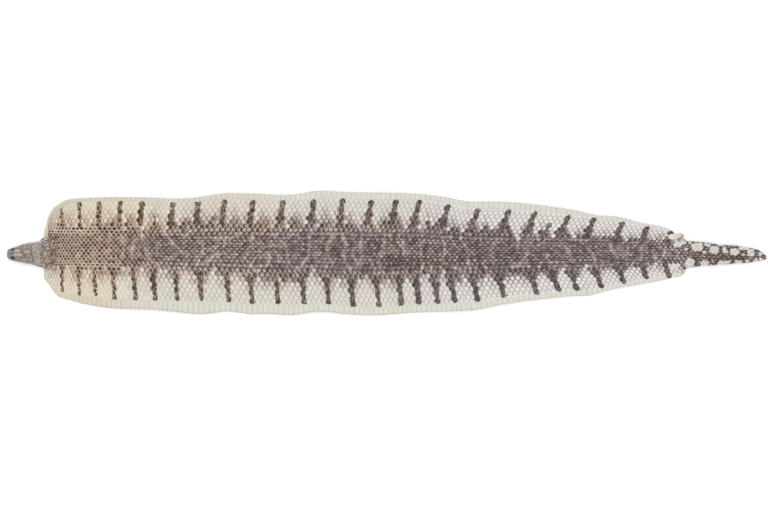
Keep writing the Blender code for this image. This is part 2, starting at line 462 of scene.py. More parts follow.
@dataclass
class Markings:
    """The pattern of the skin: a dark back, bars down the flanks and light lines across."""

    flanks: tuple[Flank, ...] = (RIGHT_FLANK, LEFT_FLANK)
    # How much wider the bars' feet are than their stems, along the skin
    flare: Curve = Curve((125.0, 0.4), (220.0, 1.2), (360.0, 1.8), (500.0, 4.2), (600.0, 3.6), (664.0, 1.6))
    # How far along the skin from its tip a bar reaches, and a wedge from its point
    bar_reach: float = 22.0
    wedge_reach: float = 14.0
    # Rows run straight across up to this distance from the middle, and then ease into their slip
    straight: float = 8.0
    easing: float = 6.0
    # Light lines across the back, as points (distance from the snout, sideways)
    light_lines: tuple[tuple[Point2, ...], ...] = (
        ((113, 19), (117, 8), (116, -3)), ((127, 14), (124, 3), (126, -8)),
        ((135.5, 16.5), (138, 3), (142.5, -6.5), (150.5, -12.5)),
        ((155.5, 22.5), (160.5, 15.5), (172.5, 1.5), (179.5, -3.5), (182.5, -9.5)),
        ((180.5, 26.5), (184.5, 19.5), (192.5, 13.5), (195.5, 7.5), (194, -1)),
        ((162.5, -7.5), (169.5, -1.5)),
        ((186.5, -11.5), (196.5, -11.5), (210.5, -0.5), (216.5, -9.5), (221.5, -17.5)),
        ((216.5, 4.5), (218.5, 11.5), (226.5, 16.5), (236.5, 21.5)), ((244.5, 20.5), (245.5, 4.5)),
        ((240.5, 2.5), (237.5, -7.5), (244.5, -13.5), (250.5, -19.5)),
        ((263.5, 26.5), (267.5, 16.5), (278.5, 7.5), (281.5, -9.5)), ((261.5, 0.5), (261.5, -11.5)),
        ((308.5, 26.5), (303.5, 18.5), (301.5, 8.5), (301.5, -5.5), (292.5, -13.5), (286.5, -19.5)),
        ((326.5, 18.5), (319.5, 8.5), (319.5, -1.5), (324.5, -9.5)),
        ((334.5, 18.5), (338.5, 9.5), (335.5, -1.5), (338.5, -11.5), (344.5, -19.5)),
        ((350.5, 26.5), (355.5, 17.5), (353.5, 6.5), (353.5, -11.5)),
        ((376.5, 14.5), (376.5, 4.5), (371.5, -3.5), (372.5, -13.5)), ((395.5, 12.5), (396.5, -1.5)),
        ((416.5, 10.5), (412.5, 6.5), (413.5, -5.5), (415.5, -15.5)),
        ((435.5, 14.5), (437.5, 4.5), (434.5, -7.5), (440.5, -13.5), (454.5, -17.5)),
        ((453.5, 14.5), (459.5, 4.5), (460.5, -7.5), (463.5, -19.5)), ((490.5, 13.5), (482.5, 3.5)),
        ((512.5, 15.5), (509.5, 0.5)), ((520.5, -1.5), (512.5, -11.5), (504, -16)),
        ((540.5, -1.5), (541.5, -9.5)), ((558.5, 6.5), (562.5, -1.5), (564.5, -9.5)),
        ((579.5, 4.5), (586.5, -3.5), (587.5, -11.5)), ((602.5, 8.5), (608.5, -3.5)),
        ((620.5, 6.5), (618.5, -7.5)), ((634.5, 4.5), (632.5, -9.5)), ((645, 2), (647, -6)),
        ((656.5, 3), (657, -4)),
    )
    # Pale patches and dark marks at the root of the tail and on the tail, painted in order
    patches: tuple[Patch, ...] = (
        Patch((678.2, 6.4), 5.2, 6.0, 0.0, True), Patch((672.0, 8.6), 6.8, 2.9, 20.0),
        Patch((665.8, -18.5), 6.4, 7.2), Patch((677.2, 3.6), 1.8, 1.4), Patch((681.6, 9.4), 1.3, 1.3),
        Patch((661.2, -22.7), 5.2, 1.3, -40.0, True), Patch((673.6, -12.6), 6.6, 1.9, -49.0, True),
        Patch((670.4, -19.2), 2.6, 0.8, -22.0, True), Patch((671.7, 14.3), 2.4, 1.1, 34.0, True),
        Patch((681.9, -10.8), 4.2, 4.6), Patch((689.0, 5.6), 5.8, 4.2), Patch((699.3, 7.6), 3.0, 1.7),
        Patch((706.0, 2.6), 4.7, 3.9), Patch((716.2, 2.4), 2.3, 3.4, 20.0), Patch((726.0, 0.8), 4.1, 3.4),
        Patch((735.5, 4.4), 5.6, 1.5), Patch((742.2, 0.2), 3.5, 3.5), Patch((752.3, -1.6), 2.0, 1.7),
        Patch((753.0, -7.1), 1.5, 1.7), Patch((735.1, -2.0), 1.5, 1.4), Patch((739.3, -8.4), 2.3, 1.3),
        Patch((720.5, -9.3), 1.9, 1.5), Patch((696.2, -10.9), 3.9, 2.9), Patch((713.5, -10.7), 4.3, 2.5),
        Patch((730.7, -10.2), 3.5, 2.1), Patch((747.7, -8.4), 2.3, 1.6), Patch((704.2, -8.2), 0.9, 0.9),
        Patch((696.3, 0.1), 1.7, 1.3), Patch((712.0, 7.6), 3.0, 1.0),
    )
    bars: dict[Side, list[Bar]] = field(init=False)

    def __post_init__(self) -> None:
        """Place the bars of both flanks."""
        self.bars = {flank.side: self.place_bars(flank) for flank in self.flanks}

    def flank(self, sideways: float) -> Flank:
        """Return the flank that a sideways place belongs to."""
        return self.flanks[0] if Side.of(sideways) is Side.RIGHT else self.flanks[1]

    def lean(self, station: float, sideways: float) -> float:
        """Return how far a row across the skin has slipped back at this distance from the middle.

        Args:
            station: Distance from the snout.
            sideways: Distance from the middle line.

        Returns:
            The slip in millimetres.
        """
        away = abs(sideways) - self.straight
        if away <= 0.0:
            return 0.0
        return self.flank(sideways).lean(station) * away * away / (away + self.easing)

    def place_bars(self, flank: Flank) -> list[Bar]:
        """Return the bars of one flank, whose feet slip back with the rows of scales.

        Args:
            flank: Where the bars stand.

        Returns:
            The bars, the short ones last.
        """
        made = []
        for tip in flank.tips:
            foot = flank.side.value * max(6.0, flank.back(tip[0]) - 2.0)
            slip = self.lean(tip[0], tip[1]) - self.lean(tip[0], foot)
            slip *= mix(1.0, 1.55, smooth(430.0, 530.0, tip[0]))
            stem = flank.stem(tip[0])
            made.append(Bar(
                tip=tip, foot=(tip[0] - slip, foot), half_width=stem, blob=1.6 * stem - 0.5,
                flare=self.flare(tip[0]),
            ))
        return made + list(flank.short_bars)

    def bar_depth(self, station: float, sideways: float) -> tuple[float, float]:
        """Return how deep a place lies in the outer part and in the foot of any bar.

        Args:
            station: Distance from the snout.
            sideways: Distance from the middle line.

        Returns:
            The two depths, from 0 to 1.
        """
        near = (bar for bar in self.bars[Side.of(sideways)] if abs(bar.tip[0] - station) < self.bar_reach)
        covers = [bar.cover(station, sideways) for bar in near]
        outer = max((cover[0] for cover in covers), default=0.0)
        return outer, max((cover[1] for cover in covers), default=0.0)

    def back(self, station: float, sideways: float) -> float:
        """Return how deep a place lies in the dark back: below 0 outside, 0.5 on its edge, 1 inside.

        Args:
            station: Distance from the snout.
            sideways: Distance from the middle line.

        Returns:
            The depth, which goes on rising above 1 towards the middle.
        """
        flank = self.flank(sideways)
        reach = flank.back(station)
        for spot, depth in flank.wedges:
            away = abs(station - spot)
            if away < self.wedge_reach:
                reach = min(reach, abs(depth) + 1.5 + flank.widening * away)
        wave = 2.2 * ripple(8.0, station, sideways, 7.0)
        blur = mix(mix(7.0, 5.5, smooth(100.0, 160.0, station)), 3.6, smooth(420.0, 560.0, station))
        depth = clamp(0.5 + 0.5 * (reach + wave - abs(sideways)) / blur, -2.0)
        if station > 652.0:
            depth = self.patched(depth, station, sideways)
        return mix(-2.0, depth, smooth(39.6, 41.6, station + ripple(3.0, sideways)))

    def patched(self, depth: float, station: float, sideways: float) -> float:
        """Return the depth in the dark back after the patches near the tail are painted over it.

        Args:
            depth: Depth in the dark back.
            station: Distance from the snout.
            sideways: Distance from the middle line.

        Returns:
            The new depth.
        """
        for patch in self.patches:
            depth = mix(depth, 1.15 if patch.dark else -1.8, patch.cover(station, sideways))
        return depth

    def smear(self, station: float, sideways: float) -> float:
        """Return how far the brown smear behind the neck covers a place, from 0 to 1.

        Args:
            station: Distance from the snout.
            sideways: Distance from the middle line.

        Returns:
            The share that it covers.
        """
        edge = 3.5 * ripple(4.0, station, sideways, 12.0)
        along = smooth(38.8, 40.0, station) * (1.0 - smooth(46.5, 52.5, station + edge))
        beside = 1.0 - smooth(-2.0, 2.0, abs(sideways + 0.5) - 17.0 + 0.5 * edge)
        return along * beside

    def light_line(self, station: float, sideways: float) -> float:
        """Return how far a place lies in a light line across the back, from 0 to 1.

        Args:
            station: Distance from the snout.
            sideways: Distance from the middle line.

        Returns:
            The share of the line's lightness.
        """
        x = station + 1.2 * ripple(4.0, station, sideways, 2.0)
        y = sideways + 1.2 * ripple(4.0, station, sideways, 14.0)
        nearest = 9.0
        for line in self.light_lines:
            if line[0][0] - 20.0 < x < line[0][0] + 26.0:
                for (ax, ay), (bx, by) in zip(line, line[1:]):
                    dx, dy = bx - ax, by - ay
                    share = clamp(((x - ax) * dx + (y - ay) * dy) / (dx * dx + dy * dy))
                    nearest = min(nearest, math.hypot(x - ax - share * dx, y - ay - share * dy))
        return (1.0 - smooth(0.5, 2.6, nearest)) * clamp(0.85 + 0.7 * ripple(3.0, station, sideways, 31.0))

    def warmth(self, station: float, sideways: float) -> float:
        """Return how tanned the skin is, from 0 for grey to 1 for tan.

        Args:
            station: Distance from the snout.
            sideways: Distance from the middle line.

        Returns:
            The share of tan.
        """
        spot = 0.5 + 0.5 * ripple(16.0, station, sideways, 3.0)
        flank = self.flank(sideways)
        share = sideways / (flank.side.value * flank.back(station))
        outer = 1.0 - smooth(0.0, 0.32, abs(abs(share) - 0.85))
        front = 1.0 - smooth(55.0, 195.0, station)
        front = max(front, 0.14 * (1.0 - smooth(240.0, 310.0, station)))
        border = 0.24 * outer * (1.0 - smooth(330.0, 560.0, station)) * smooth(0.25, 0.6, spot)
        if flank.side is Side.RIGHT:
            border += 0.28 * smooth(0.3, 0.6, share) * (1.0 - smooth(230.0, 300.0, station))
        patch = 0.35 * smooth(0.6, 0.8, spot) * smooth(1.0, 0.7, abs(share))
        return clamp(front * (0.75 + 0.4 * spot) + border + patch)


markings = Markings()


# Scales


@dataclass(frozen=True)
class Relief:
    """Heights of one scale over the skin between the scales, in millimetres."""

    rim: float = 0.10
    lift: float = 0.30
    dome: float = 0.12
    keel: float = 0.10
    # How much lower the smooth scales of the flanks are, as a share
    smoothness: float = 0.55


def points_of(geometry: Sequence[object]) -> list[Vert]:
    """Return the points among the parts of a mesh."""
    return [item for item in geometry if isinstance(item, Vert)]


class Sheet:
    """A mesh in the making, unrolled flat: x along the skin, y sideways, z over the skin."""

    LAYERS = (
        "along", "across", "middle_x", "middle_y", "radius", "fore", "side", "luck", "hexagon",
        "bar", "back", "light", "warm", "smear", "groove", "under",
    )

    def __init__(self, bm: bmesh.types.BMesh) -> None:
        """Add the numbers that every point of the sheet carries.

        Args:
            bm: The mesh, with no such numbers yet.
        """
        self.bm = bm
        for name in self.LAYERS:
            bm.verts.layers.float.new(name)
        self.layer = {name: bm.verts.layers.float[name] for name in self.LAYERS}

    @classmethod
    def grid(cls, along: int, across: int, reach: float = 1.0) -> "Sheet":
        """Start a sheet from a flat grid.

        Args:
            along: How many faces it has in x.
            across: How many faces it has in y.
            reach: How far it extends from the origin both ways.

        Returns:
            The sheet.
        """
        bm = bmesh.new()
        bmesh.ops.create_grid(bm, x_segments=along, y_segments=across, size=reach)
        return cls(bm)

    def thicken(self, thickness: float) -> None:
        """Close an open sheet that is already in place with a back this many millimetres below.

        Args:
            thickness: How far below the back lies.
        """
        back = bmesh.ops.extrude_face_region(self.bm, geom=self.bm.faces[:])["geom"]
        for vert in points_of(back):
            vert.co.z -= thickness * MM

    def close_ends(self) -> None:
        """Close each open ring of edges with a fan of faces."""
        open_edges = [edge for edge in self.bm.edges if edge.is_boundary]
        caps = bmesh.ops.holes_fill(self.bm, edges=open_edges, sides=0)["faces"]
        bmesh.ops.poke(self.bm, faces=caps)

    def mark(self, vert: Vert, **values: float) -> None:
        """Store numbers on a point."""
        for name, value in values.items():
            vert[self.layer[name]] = value

    def paint(self, vert: Vert, station: float, sideways: float) -> None:
        """Store how the markings cover a point of the back or the flanks.

        Args:
            vert: The point.
            station: Distance from the snout.
            sideways: Distance from the middle line.
        """
        on_scale = vert[self.layer["middle_x"]] > 0.0 and vert[self.layer["radius"]] < 0.95
        share = 0.7 if on_scale else 0.0
        x = mix(station, vert[self.layer["middle_x"]], share)
        y = mix(sideways, vert[self.layer["middle_y"]], share)
        back, foot = markings.back(x, y), markings.bar_depth(x, y)[1]
        self.mark(
            vert, bar=markings.bar_depth(station, sideways)[0], back=max(back, foot) if foot > 0.0 else back,
            light=markings.light_line(station, sideways), warm=markings.warmth(station, sideways),
            smear=markings.smear(station, sideways),
        )

    def piece(self, name: str) -> Piece:
        """Turn the sheet into an object with smooth shading.

        Args:
            name: The object's name.

        Returns:
            The object, linked to the scene.
        """
        bmesh.ops.recalc_face_normals(self.bm, faces=self.bm.faces[:])
        mesh = bpy.data.meshes.new(name)
        self.bm.to_mesh(mesh)
        self.bm.free()
        mesh.shade_smooth()
        made = bpy.data.objects.new(name, mesh)
        bpy.context.scene.collection.objects.link(made)
        LOG.info("%s: %d faces", name, len(mesh.polygons))
        return made


def soft_ramp(share: float, start: float, width: float) -> float:
    """Return the integral of a soft step that begins at start and is width wide."""
    t = clamp((share - start) / width)
    return width * (t * t * t - 0.5 * t ** 4) + max(0.0, share - start - width)


@dataclass
class Rows:
    """Counts of scale rows: along the skin from the neck, and across it from the middle."""

    pitch: Curve
    first: float
    last: float
    each_side: tuple[Point2, ...]
    diamonds: float = 0.33
    stations: np.ndarray = field(init=False)
    counts: np.ndarray = field(init=False)

    def __post_init__(self) -> None:
        """Add up the rows along the skin."""
        step = 0.5
        self.stations = np.arange(self.first, self.last + 12.0, step)
        shares = [step / self.pitch(s) for s in self.stations]
        self.counts = np.concatenate([[0.0], np.cumsum(shares)[:-1]])

    def station(self, along: float) -> float:
        """Return the distance from the snout of a count along the skin."""
        return float(np.interp(along, self.counts, self.stations))

    def count(self, station: float) -> float:
        """Return the count along the skin at a distance from the snout."""
        return float(np.interp(station, self.stations, self.counts))

    def across(self, along: float) -> float:
        """Return how many rows lie on each side of the middle line."""
        places = [self.count(station) for station, _ in self.each_side]
        return float(np.interp(along, places, [rows for _, rows in self.each_side]))

    def lattice(self) -> bmesh.types.BMesh:
        """Make a lattice of diamonds from a turned grid, cut to the rows there are.

        Returns:
            A mesh whose points are (count along, half of the count across, 0).
        """
        last = self.count(self.last)
        widest = max(rows for _, rows in self.each_side)
        centre = math.floor(0.5 * last)
        reach = math.ceil(0.5 * last + 0.5 * widest) + 3
        bm = bmesh.new()
        bmesh.ops.create_grid(bm, x_segments=2 * reach, y_segments=2 * reach, size=reach * math.sqrt(0.5))
        turned = Matrix.Rotation(math.radians(45.0), 3, "Z")
        bmesh.ops.rotate(bm, verts=bm.verts, cent=(0, 0, 0), matrix=turned)
        bmesh.ops.translate(bm, verts=bm.verts, vec=(centre, 0, 0))
        cut(bm, (0, 0, 0), (-1, 0, 0))
        cut(bm, (0, 0.5 * widest, 0), (0, 1, 0))
        cut(bm, (0, -0.5 * widest, 0), (0, -1, 0))
        steps = [(self.count(station), 0.5 * rows) for station, rows in self.each_side]
        for (start, wide), (end, narrow) in zip(steps, steps[1:]):
            if narrow < wide:
                cut(bm, (start, wide, 0), (wide - narrow, end - start, 0))
                cut(bm, (start, -wide, 0), (wide - narrow, start - end, 0))
        return bm

    def hexagon(self, along: float, across: float) -> float:
        """Return how far a cell is a hexagon: 0 in the middle of the back, 1 on the flanks."""
        return smooth(self.diamonds, self.diamonds + 0.2, abs(across) / self.across(along))

    def divide(self, bm: bmesh.types.BMesh) -> None:
        """Divide the lattice's edges so that the outer diamonds become hexagons.

        Each edge gets two points.  In the middle of the back they meet halfway, and on the
        flanks they draw in towards the nodes, whose neighbours so share a short edge.

        Args:
            bm: Mesh whose points are (count along, half of the count across, 0).
        """
        nodes = set(bm.verts)
        bmesh.ops.subdivide_edges(bm, edges=bm.edges[:], cuts=2)
        sixth = 1.0 / 6.0
        for vert in (v for v in bm.verts if v not in nodes):
            x, y = vert.co.x, vert.co.y
            spots = ((round(x), round(y)), (math.floor(x) + 0.5, math.floor(y) + 0.5))
            node = min(spots, key=lambda spot: math.hypot(x - spot[0], y - spot[1]))
            off_x, off_y = x - node[0], y - node[1]
            if abs(abs(off_x) - sixth) > 1e-3 or abs(abs(off_y) - sixth) > 1e-3:
                continue
            share = self.hexagon(node[0], 2.0 * node[1])
            if share == 0.0:
                vert.co = Vector((node[0] + 1.5 * off_x, node[1] + 1.5 * off_y, 0.0))
            else:
                vert.co = Vector((node[0] + off_x * (1.0 - 0.72 * share), y, 0.0))
        bmesh.ops.remove_doubles(bm, verts=[v for v in bm.verts if v not in nodes], dist=1e-3)


def cut(bm: bmesh.types.BMesh, spot: Sequence[float], outward: Sequence[float], snap: float = 1e-3) -> None:
    """Cut away what lies outside a plane.

    Args:
        bm: The mesh.
        spot: A point on the plane.
        outward: The direction of what goes.
        snap: Points this close to the plane count as on it.
    """
    bmesh.ops.bisect_plane(
        bm, geom=bm.verts[:] + bm.edges[:] + bm.faces[:], dist=snap,
        plane_co=spot, plane_no=Vector(outward).normalized(), clear_outer=True,
    )


@dataclass(frozen=True)
class Cell:
    """Where one scale stands, and what sets it apart."""

    middle: Vector
    across: float
    reach_x: float
    reach_y: float
    hexagon: float
    luck: float


def carve_scales(sheet: Sheet, cells: list[bmesh.types.BMFace], rows: Rows, relief: Relief) -> None:
    """Raise a scale on each cell, with two rings of points round its middle.

    Args:
        sheet: The unrolled skin.
        cells: The cells that get a scale.
        rows: The rows that the cells stand in.
        relief: Heights of a scale.
    """
    bm = sheet.bm
    whole = [face for face in cells if face.calc_area() > 0.8]
    found = {}
    for face in cells:
        middle = face.calc_center_bounds()
        count = len(face.verts)
        along = sum(vert[sheet.layer["along"]] for vert in face.verts) / count
        across = sum(vert[sheet.layer["across"]] for vert in face.verts) / count
        found[face] = Cell(
            middle=middle, across=across, reach_x=max(0.2, max(abs(v.co.x - middle.x) for v in face.verts)),
            reach_y=max(0.2, max(abs(v.co.y - middle.y) for v in face.verts)),
            hexagon=rows.hexagon(along, across), luck=chance(1, middle.x, middle.y),
        )
        for vert in face.verts:
            sheet.mark(vert, radius=1.0, fore=0.0, side=0.0, luck=0.5, hexagon=found[face].hexagon)
    raised = [face for face in whole if found[face].hexagon < 0.9]
    for ring, faces in enumerate((whole, raised)):
        bmesh.ops.inset_individual(bm, faces=faces, thickness=0.05, use_even_offset=False)
        for face in faces:
            shape_ring(sheet, face, found[face], relief, ring)
    for vert, face in zip(bmesh.ops.poke(bm, faces=whole)["verts"], whole):
        cell = found[face]
        flat = 1.0 - relief.smoothness * cell.hexagon
        height = relief.rim + (0.5 * relief.lift + relief.dome + relief.keel) * flat
        vert.co = cell.middle + Vector((0.06 * cell.reach_x, 0.0, height))
        sheet.mark(
            vert, radius=0.0, fore=0.0, side=0.0, across=cell.across, luck=cell.luck, hexagon=cell.hexagon,
            middle_x=cell.middle.x, middle_y=cell.middle.y,
        )


def shape_ring(sheet: Sheet, face: bmesh.types.BMFace, cell: Cell, relief: Relief, ring: int) -> None:
    """Place the points of a scale's rim (ring 0) or of the ring inside it (ring 1).

    Args:
        sheet: The unrolled skin.
        face: The face that the ring bounds.
        cell: The scale's cell.
        relief: Heights of a scale.
        ring: Which of the two rings is placed.
    """
    for vert in face.verts:
        away = Vector((vert.co.x - cell.middle.x, vert.co.y - cell.middle.y, 0.0))
        share_x, share_y = away.x / cell.reach_x, away.y / cell.reach_y
        if ring == 0:
            top = mix(0.82, 0.66, cell.hexagon)
            keep = mix(0.93, top, smooth(0.72, 0.95, abs(share_y)))
            keep = mix(keep, mix(0.86, 0.93, cell.hexagon), smooth(0.72, 0.95, abs(share_x)))
            height = relief.lift * (0.5 + 0.5 * share_x)
            radius = 0.86
        else:
            keep = 0.68
            height = relief.lift * (0.5 + 0.4 * share_x) + relief.dome
            height += relief.keel * (1.0 - smooth(0.0, 0.35, abs(share_y)))
            radius = 0.56
        height = relief.rim + height * (1.0 - relief.smoothness * cell.hexagon)
        vert.co = cell.middle + away * keep
        vert.co.z = height
        sheet.mark(
            vert, radius=radius, fore=share_x, side=share_y, across=cell.across + keep * share_y,
            luck=cell.luck, hexagon=cell.hexagon, middle_x=cell.middle.x, middle_y=cell.middle.y,
        )


class Part:
    """A piece of the skin, which is built as a mesh and then dressed."""

    def build(self) -> Piece:
        """Make the piece's mesh."""
        raise NotImplementedError

    def finish(self) -> bpy.types.Material:
        """Return the piece's material."""
        raise NotImplementedError

    def dress(self, piece: Piece) -> None:
        """Give the piece its finish and its place in the frame.

        Args:
            piece: The piece's object.
        """
        piece.data.materials.append(self.finish())
        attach(piece, "root")


# Hide


@dataclass
class Hide(Part):
    """The opened hide: scales on a thin sheet whose margins lie under the belly plates."""

    rows: Rows
    relief: Relief = Relief()
    sunk: float = 0.35
    # Distance from the snout of the hide's front rim
    start: float = 36.5
    # How far before its last row the hide's side margins end
    open_end: float = 4.5
    # Width of the band next to the belly plates where the scales keep no dark rim
    plain_band: float = 1.3
    right_plates: Curve = Curve(
        (40, 2.2), (54, 2.4), (72, 3.2), (113, 3.4), (190, 3.4), (217, 5.2), (246, 6),
        (276, 5), (306, 6.8), (336, 6.2), (364, 7.2), (389, 6), (412, 5.4), (440, 6.6),
        (502, 6.8), (528, 6.5), (561, 5.2), (586, 3.4), (615, 3.6), (640, 2.8), (664, 2),
    )
    left_plates: Curve = Curve(
        (40, 3), (55, 5), (72, 6.2), (88, 8), (128, 8), (148, 8.6), (170, 10.4),
        (194, 12), (222, 8.6), (245, 9.6), (270, 9.6), (297, 8.7), (322, 6.9), (346, 6.9),
        (372, 7.5), (448, 7.6), (470, 7), (497, 6.2), (530, 4.6), (552, 5.6), (594, 3.8),
        (616, 2.8), (639, 3.4), (662, 2),
    )
    # How close the rows in the middle stand, as a share of the mean row
    fine: Curve = Curve(
        (36, 0.84), (60, 0.80), (100, 0.75), (160, 0.71), (300, 0.69), (430, 0.69), (500, 0.66),
        (560, 0.70), (600, 0.78), (640, 0.88), (662, 0.96), (690, 1),
    )
    # Share of the rows, counted from the middle line, where they begin to widen
    widening: Curve = Curve((60.0, 0.40), (110.0, 0.36), (180.0, 0.16), (240.0, 0.12))
    middle: Curve = Curve((40.0, 4.5), (100.0, 5.0), (200.0, 4.0), (300.0, 3.0), (420.0, 1.5), (500.0, 0.0))
    # Corners of the neck cut, where the scales stop short of the hide's rim
    neck_cut: tuple[Point2, ...] = (
        (64, -45.6), (54, -42.6), (48, -38.2), (43, -31.5), (40.2, -27.5),
        (40.2, 20), (41.3, 26), (43.2, 33.5), (45.6, 38.2), (49.5, 42.6), (56, 46.6), (66, 49.4),
    )

    def inner_width(self, station: float, side: Side) -> float:
        """Return how far the scales reach from the middle line, up to the belly plates.

        Args:
            station: Distance from the snout.
            side: Which flank.

        Returns:
            The distance in millimetres.
        """
        reach = max(station, 64.0)
        plates = self.right_plates if side is Side.RIGHT else self.left_plates
        return abs(solid.edge(reach, side)) - plates(reach)

    def spread(self, bm: bmesh.types.BMesh) -> Sheet:
        """Move a lattice of counts to places on the unrolled skin.

        Args:
            bm: Mesh whose points are (along, half of across, 0).

        Returns:
            The sheet, whose points remember their counts.
        """
        sheet = Sheet(bm)
        width = 0.25
        for vert in bm.verts:
            along, across = vert.co.x, 2.0 * vert.co.y
            sheet.mark(vert, along=along, across=across)
            side = Side.of(across)
            station = self.rows.station(along)
            share = min(1.0, abs(across) / self.rows.across(along))
            fine, start, middle = self.fine(station), self.widening(station), self.middle(station)
            ramp = soft_ramp(share, start, width) / soft_ramp(1.0, start, width)
            bent = fine * share + (1.0 - fine) * ramp
            sideways = middle + bent * (side.value * self.inner_width(station, side) - middle)
            vert.co = Vector((station + markings.lean(station, sideways), sideways, 0.0))
        return sheet

    def outline(self) -> KDTree:
        """Return the hide's rim as a tree of close points on the unrolled skin.

        Returns:
            A balanced tree.
        """
        first, step = self.start, 0.2
        points = [Vector((first, y, 0.0)) for y in np.arange(solid.left(first), solid.right(first), step)]
        for station in np.arange(first, self.rows.last, step):
            for side in Side:
                start = Vector((station, solid.edge(station, side), 0.0))
                end = Vector((station + step, solid.edge(station + step, side), 0.0))
                pieces = max(1, round((end - start).length / step))
                points.extend(start.lerp(end, i / pieces) for i in range(pieces))
        tree = KDTree(len(points))
        for index, point in enumerate(points):
            tree.insert(point, index)
        tree.balance()
        return tree

    def build(self) -> Piece:
        """Make the hide as one closed mesh.

        Returns:
            The hide.
        """
        bm = self.rows.lattice()
        last = self.rows.count(self.rows.last)
        bmesh.ops.delete(bm, geom=[f for f in bm.faces if f.calc_center_median().x > last], context="FACES")
        self.rows.divide(bm)
        sheet = self.spread(bm)
        for start, end in zip(self.neck_cut, self.neck_cut[1:]):
            cut(bm, (*start, 0), (start[1] - end[1], end[0] - start[0], 0))
        bmesh.ops.dissolve_degenerate(bm, dist=0.05, edges=bm.edges[:])
        cells = bm.faces[:]
        self.add_margins(sheet)
        bmesh.ops.recalc_face_normals(bm, faces=bm.faces[:])
        if sum(face.normal.z for face in bm.faces) < 0.0:
            bmesh.ops.reverse_faces(bm, faces=bm.faces[:])
        copied = bmesh.ops.duplicate(bm, geom=bm.verts[:] + bm.edges[:] + bm.faces[:])["geom"]
        for vert in points_of(copied):
            vert.co.z = -1.0
        bmesh.ops.reverse_faces(bm, faces=[item for item in copied if isinstance(item, bmesh.types.BMFace)])
        spare = [vert for vert in points_of(copied) if len(vert.link_edges) == 2 and not vert.is_boundary]
        bmesh.ops.dissolve_verts(bm, verts=spare)
        bmesh.ops.bridge_loops(bm, edges=[edge for edge in bm.edges if edge.is_boundary])
        carve_scales(sheet, cells, self.rows, self.relief)
        self.drape(sheet)
        return sheet.piece("hide")

    def add_margins(self, sheet: Sheet) -> None:
        """Extend the cut cells to the hide's rim.

        Args:
            sheet: The unrolled skin, with cells up to the belly plates.
        """
        bm = sheet.bm
        rim = self.outline()
        last = self.rows.last - self.open_end
        open_edges = [e for e in bm.edges if e.is_boundary and not all(v.co.x > last for v in e.verts)]
        for vert in points_of(bmesh.ops.extrude_edge_only(bm, edges=open_edges)["geom"]):
            vert.co = rim.find(vert.co)[0]
            sheet.mark(vert, radius=0.7, luck=0.5)

    def drape(self, sheet: Sheet) -> None:
        """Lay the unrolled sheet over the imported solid.

        Args:
            sheet: The unrolled skin.
        """
        for vert in sheet.bm.verts:
            station, sideways, relief = vert.co
            sheet.paint(vert, station, sideways)
            above = relief > -0.5
            if abs(sideways) > self.inner_width(station, Side.of(sideways)) - self.plain_band:
                sheet.mark(vert, radius=min(0.7, vert[sheet.layer["radius"]]))
            sheet.mark(vert, under=0.0 if above else 1.0)
            lift = relief - self.sunk if above else 0.0
            vert.co = place(station, sideways, solid.height(station, sideways, above) + lift)

    def finish(self) -> bpy.types.Material:
        """Return the material of the scales."""
        return ScaleFinish().material()

    def dress(self, piece: Piece) -> None:
        """Dress the hide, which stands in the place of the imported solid."""
        super().dress(piece)
        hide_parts(SOLID)

    def declare(self, piece: Piece, grown_on: list[Piece]) -> None:
        """Log how big the hide is when laid flat, and its area.

        Args:
            piece: The hide; not used.
            grown_on: The separate pieces along its margins; not used.
        """
        step = 0.5
        stations = np.arange(self.start, self.rows.last, step)
        widths = [solid.right(station) - solid.left(station) for station in stations]
        flat = (max(widths) * MM, (self.rows.last - self.start) * MM)
        area = sum(widths) * step * MM * MM
        LOG.info("hide: %.1f by %.1f mm flat, %.4f square metres", flat[0] / MM, flat[1] / MM, area)


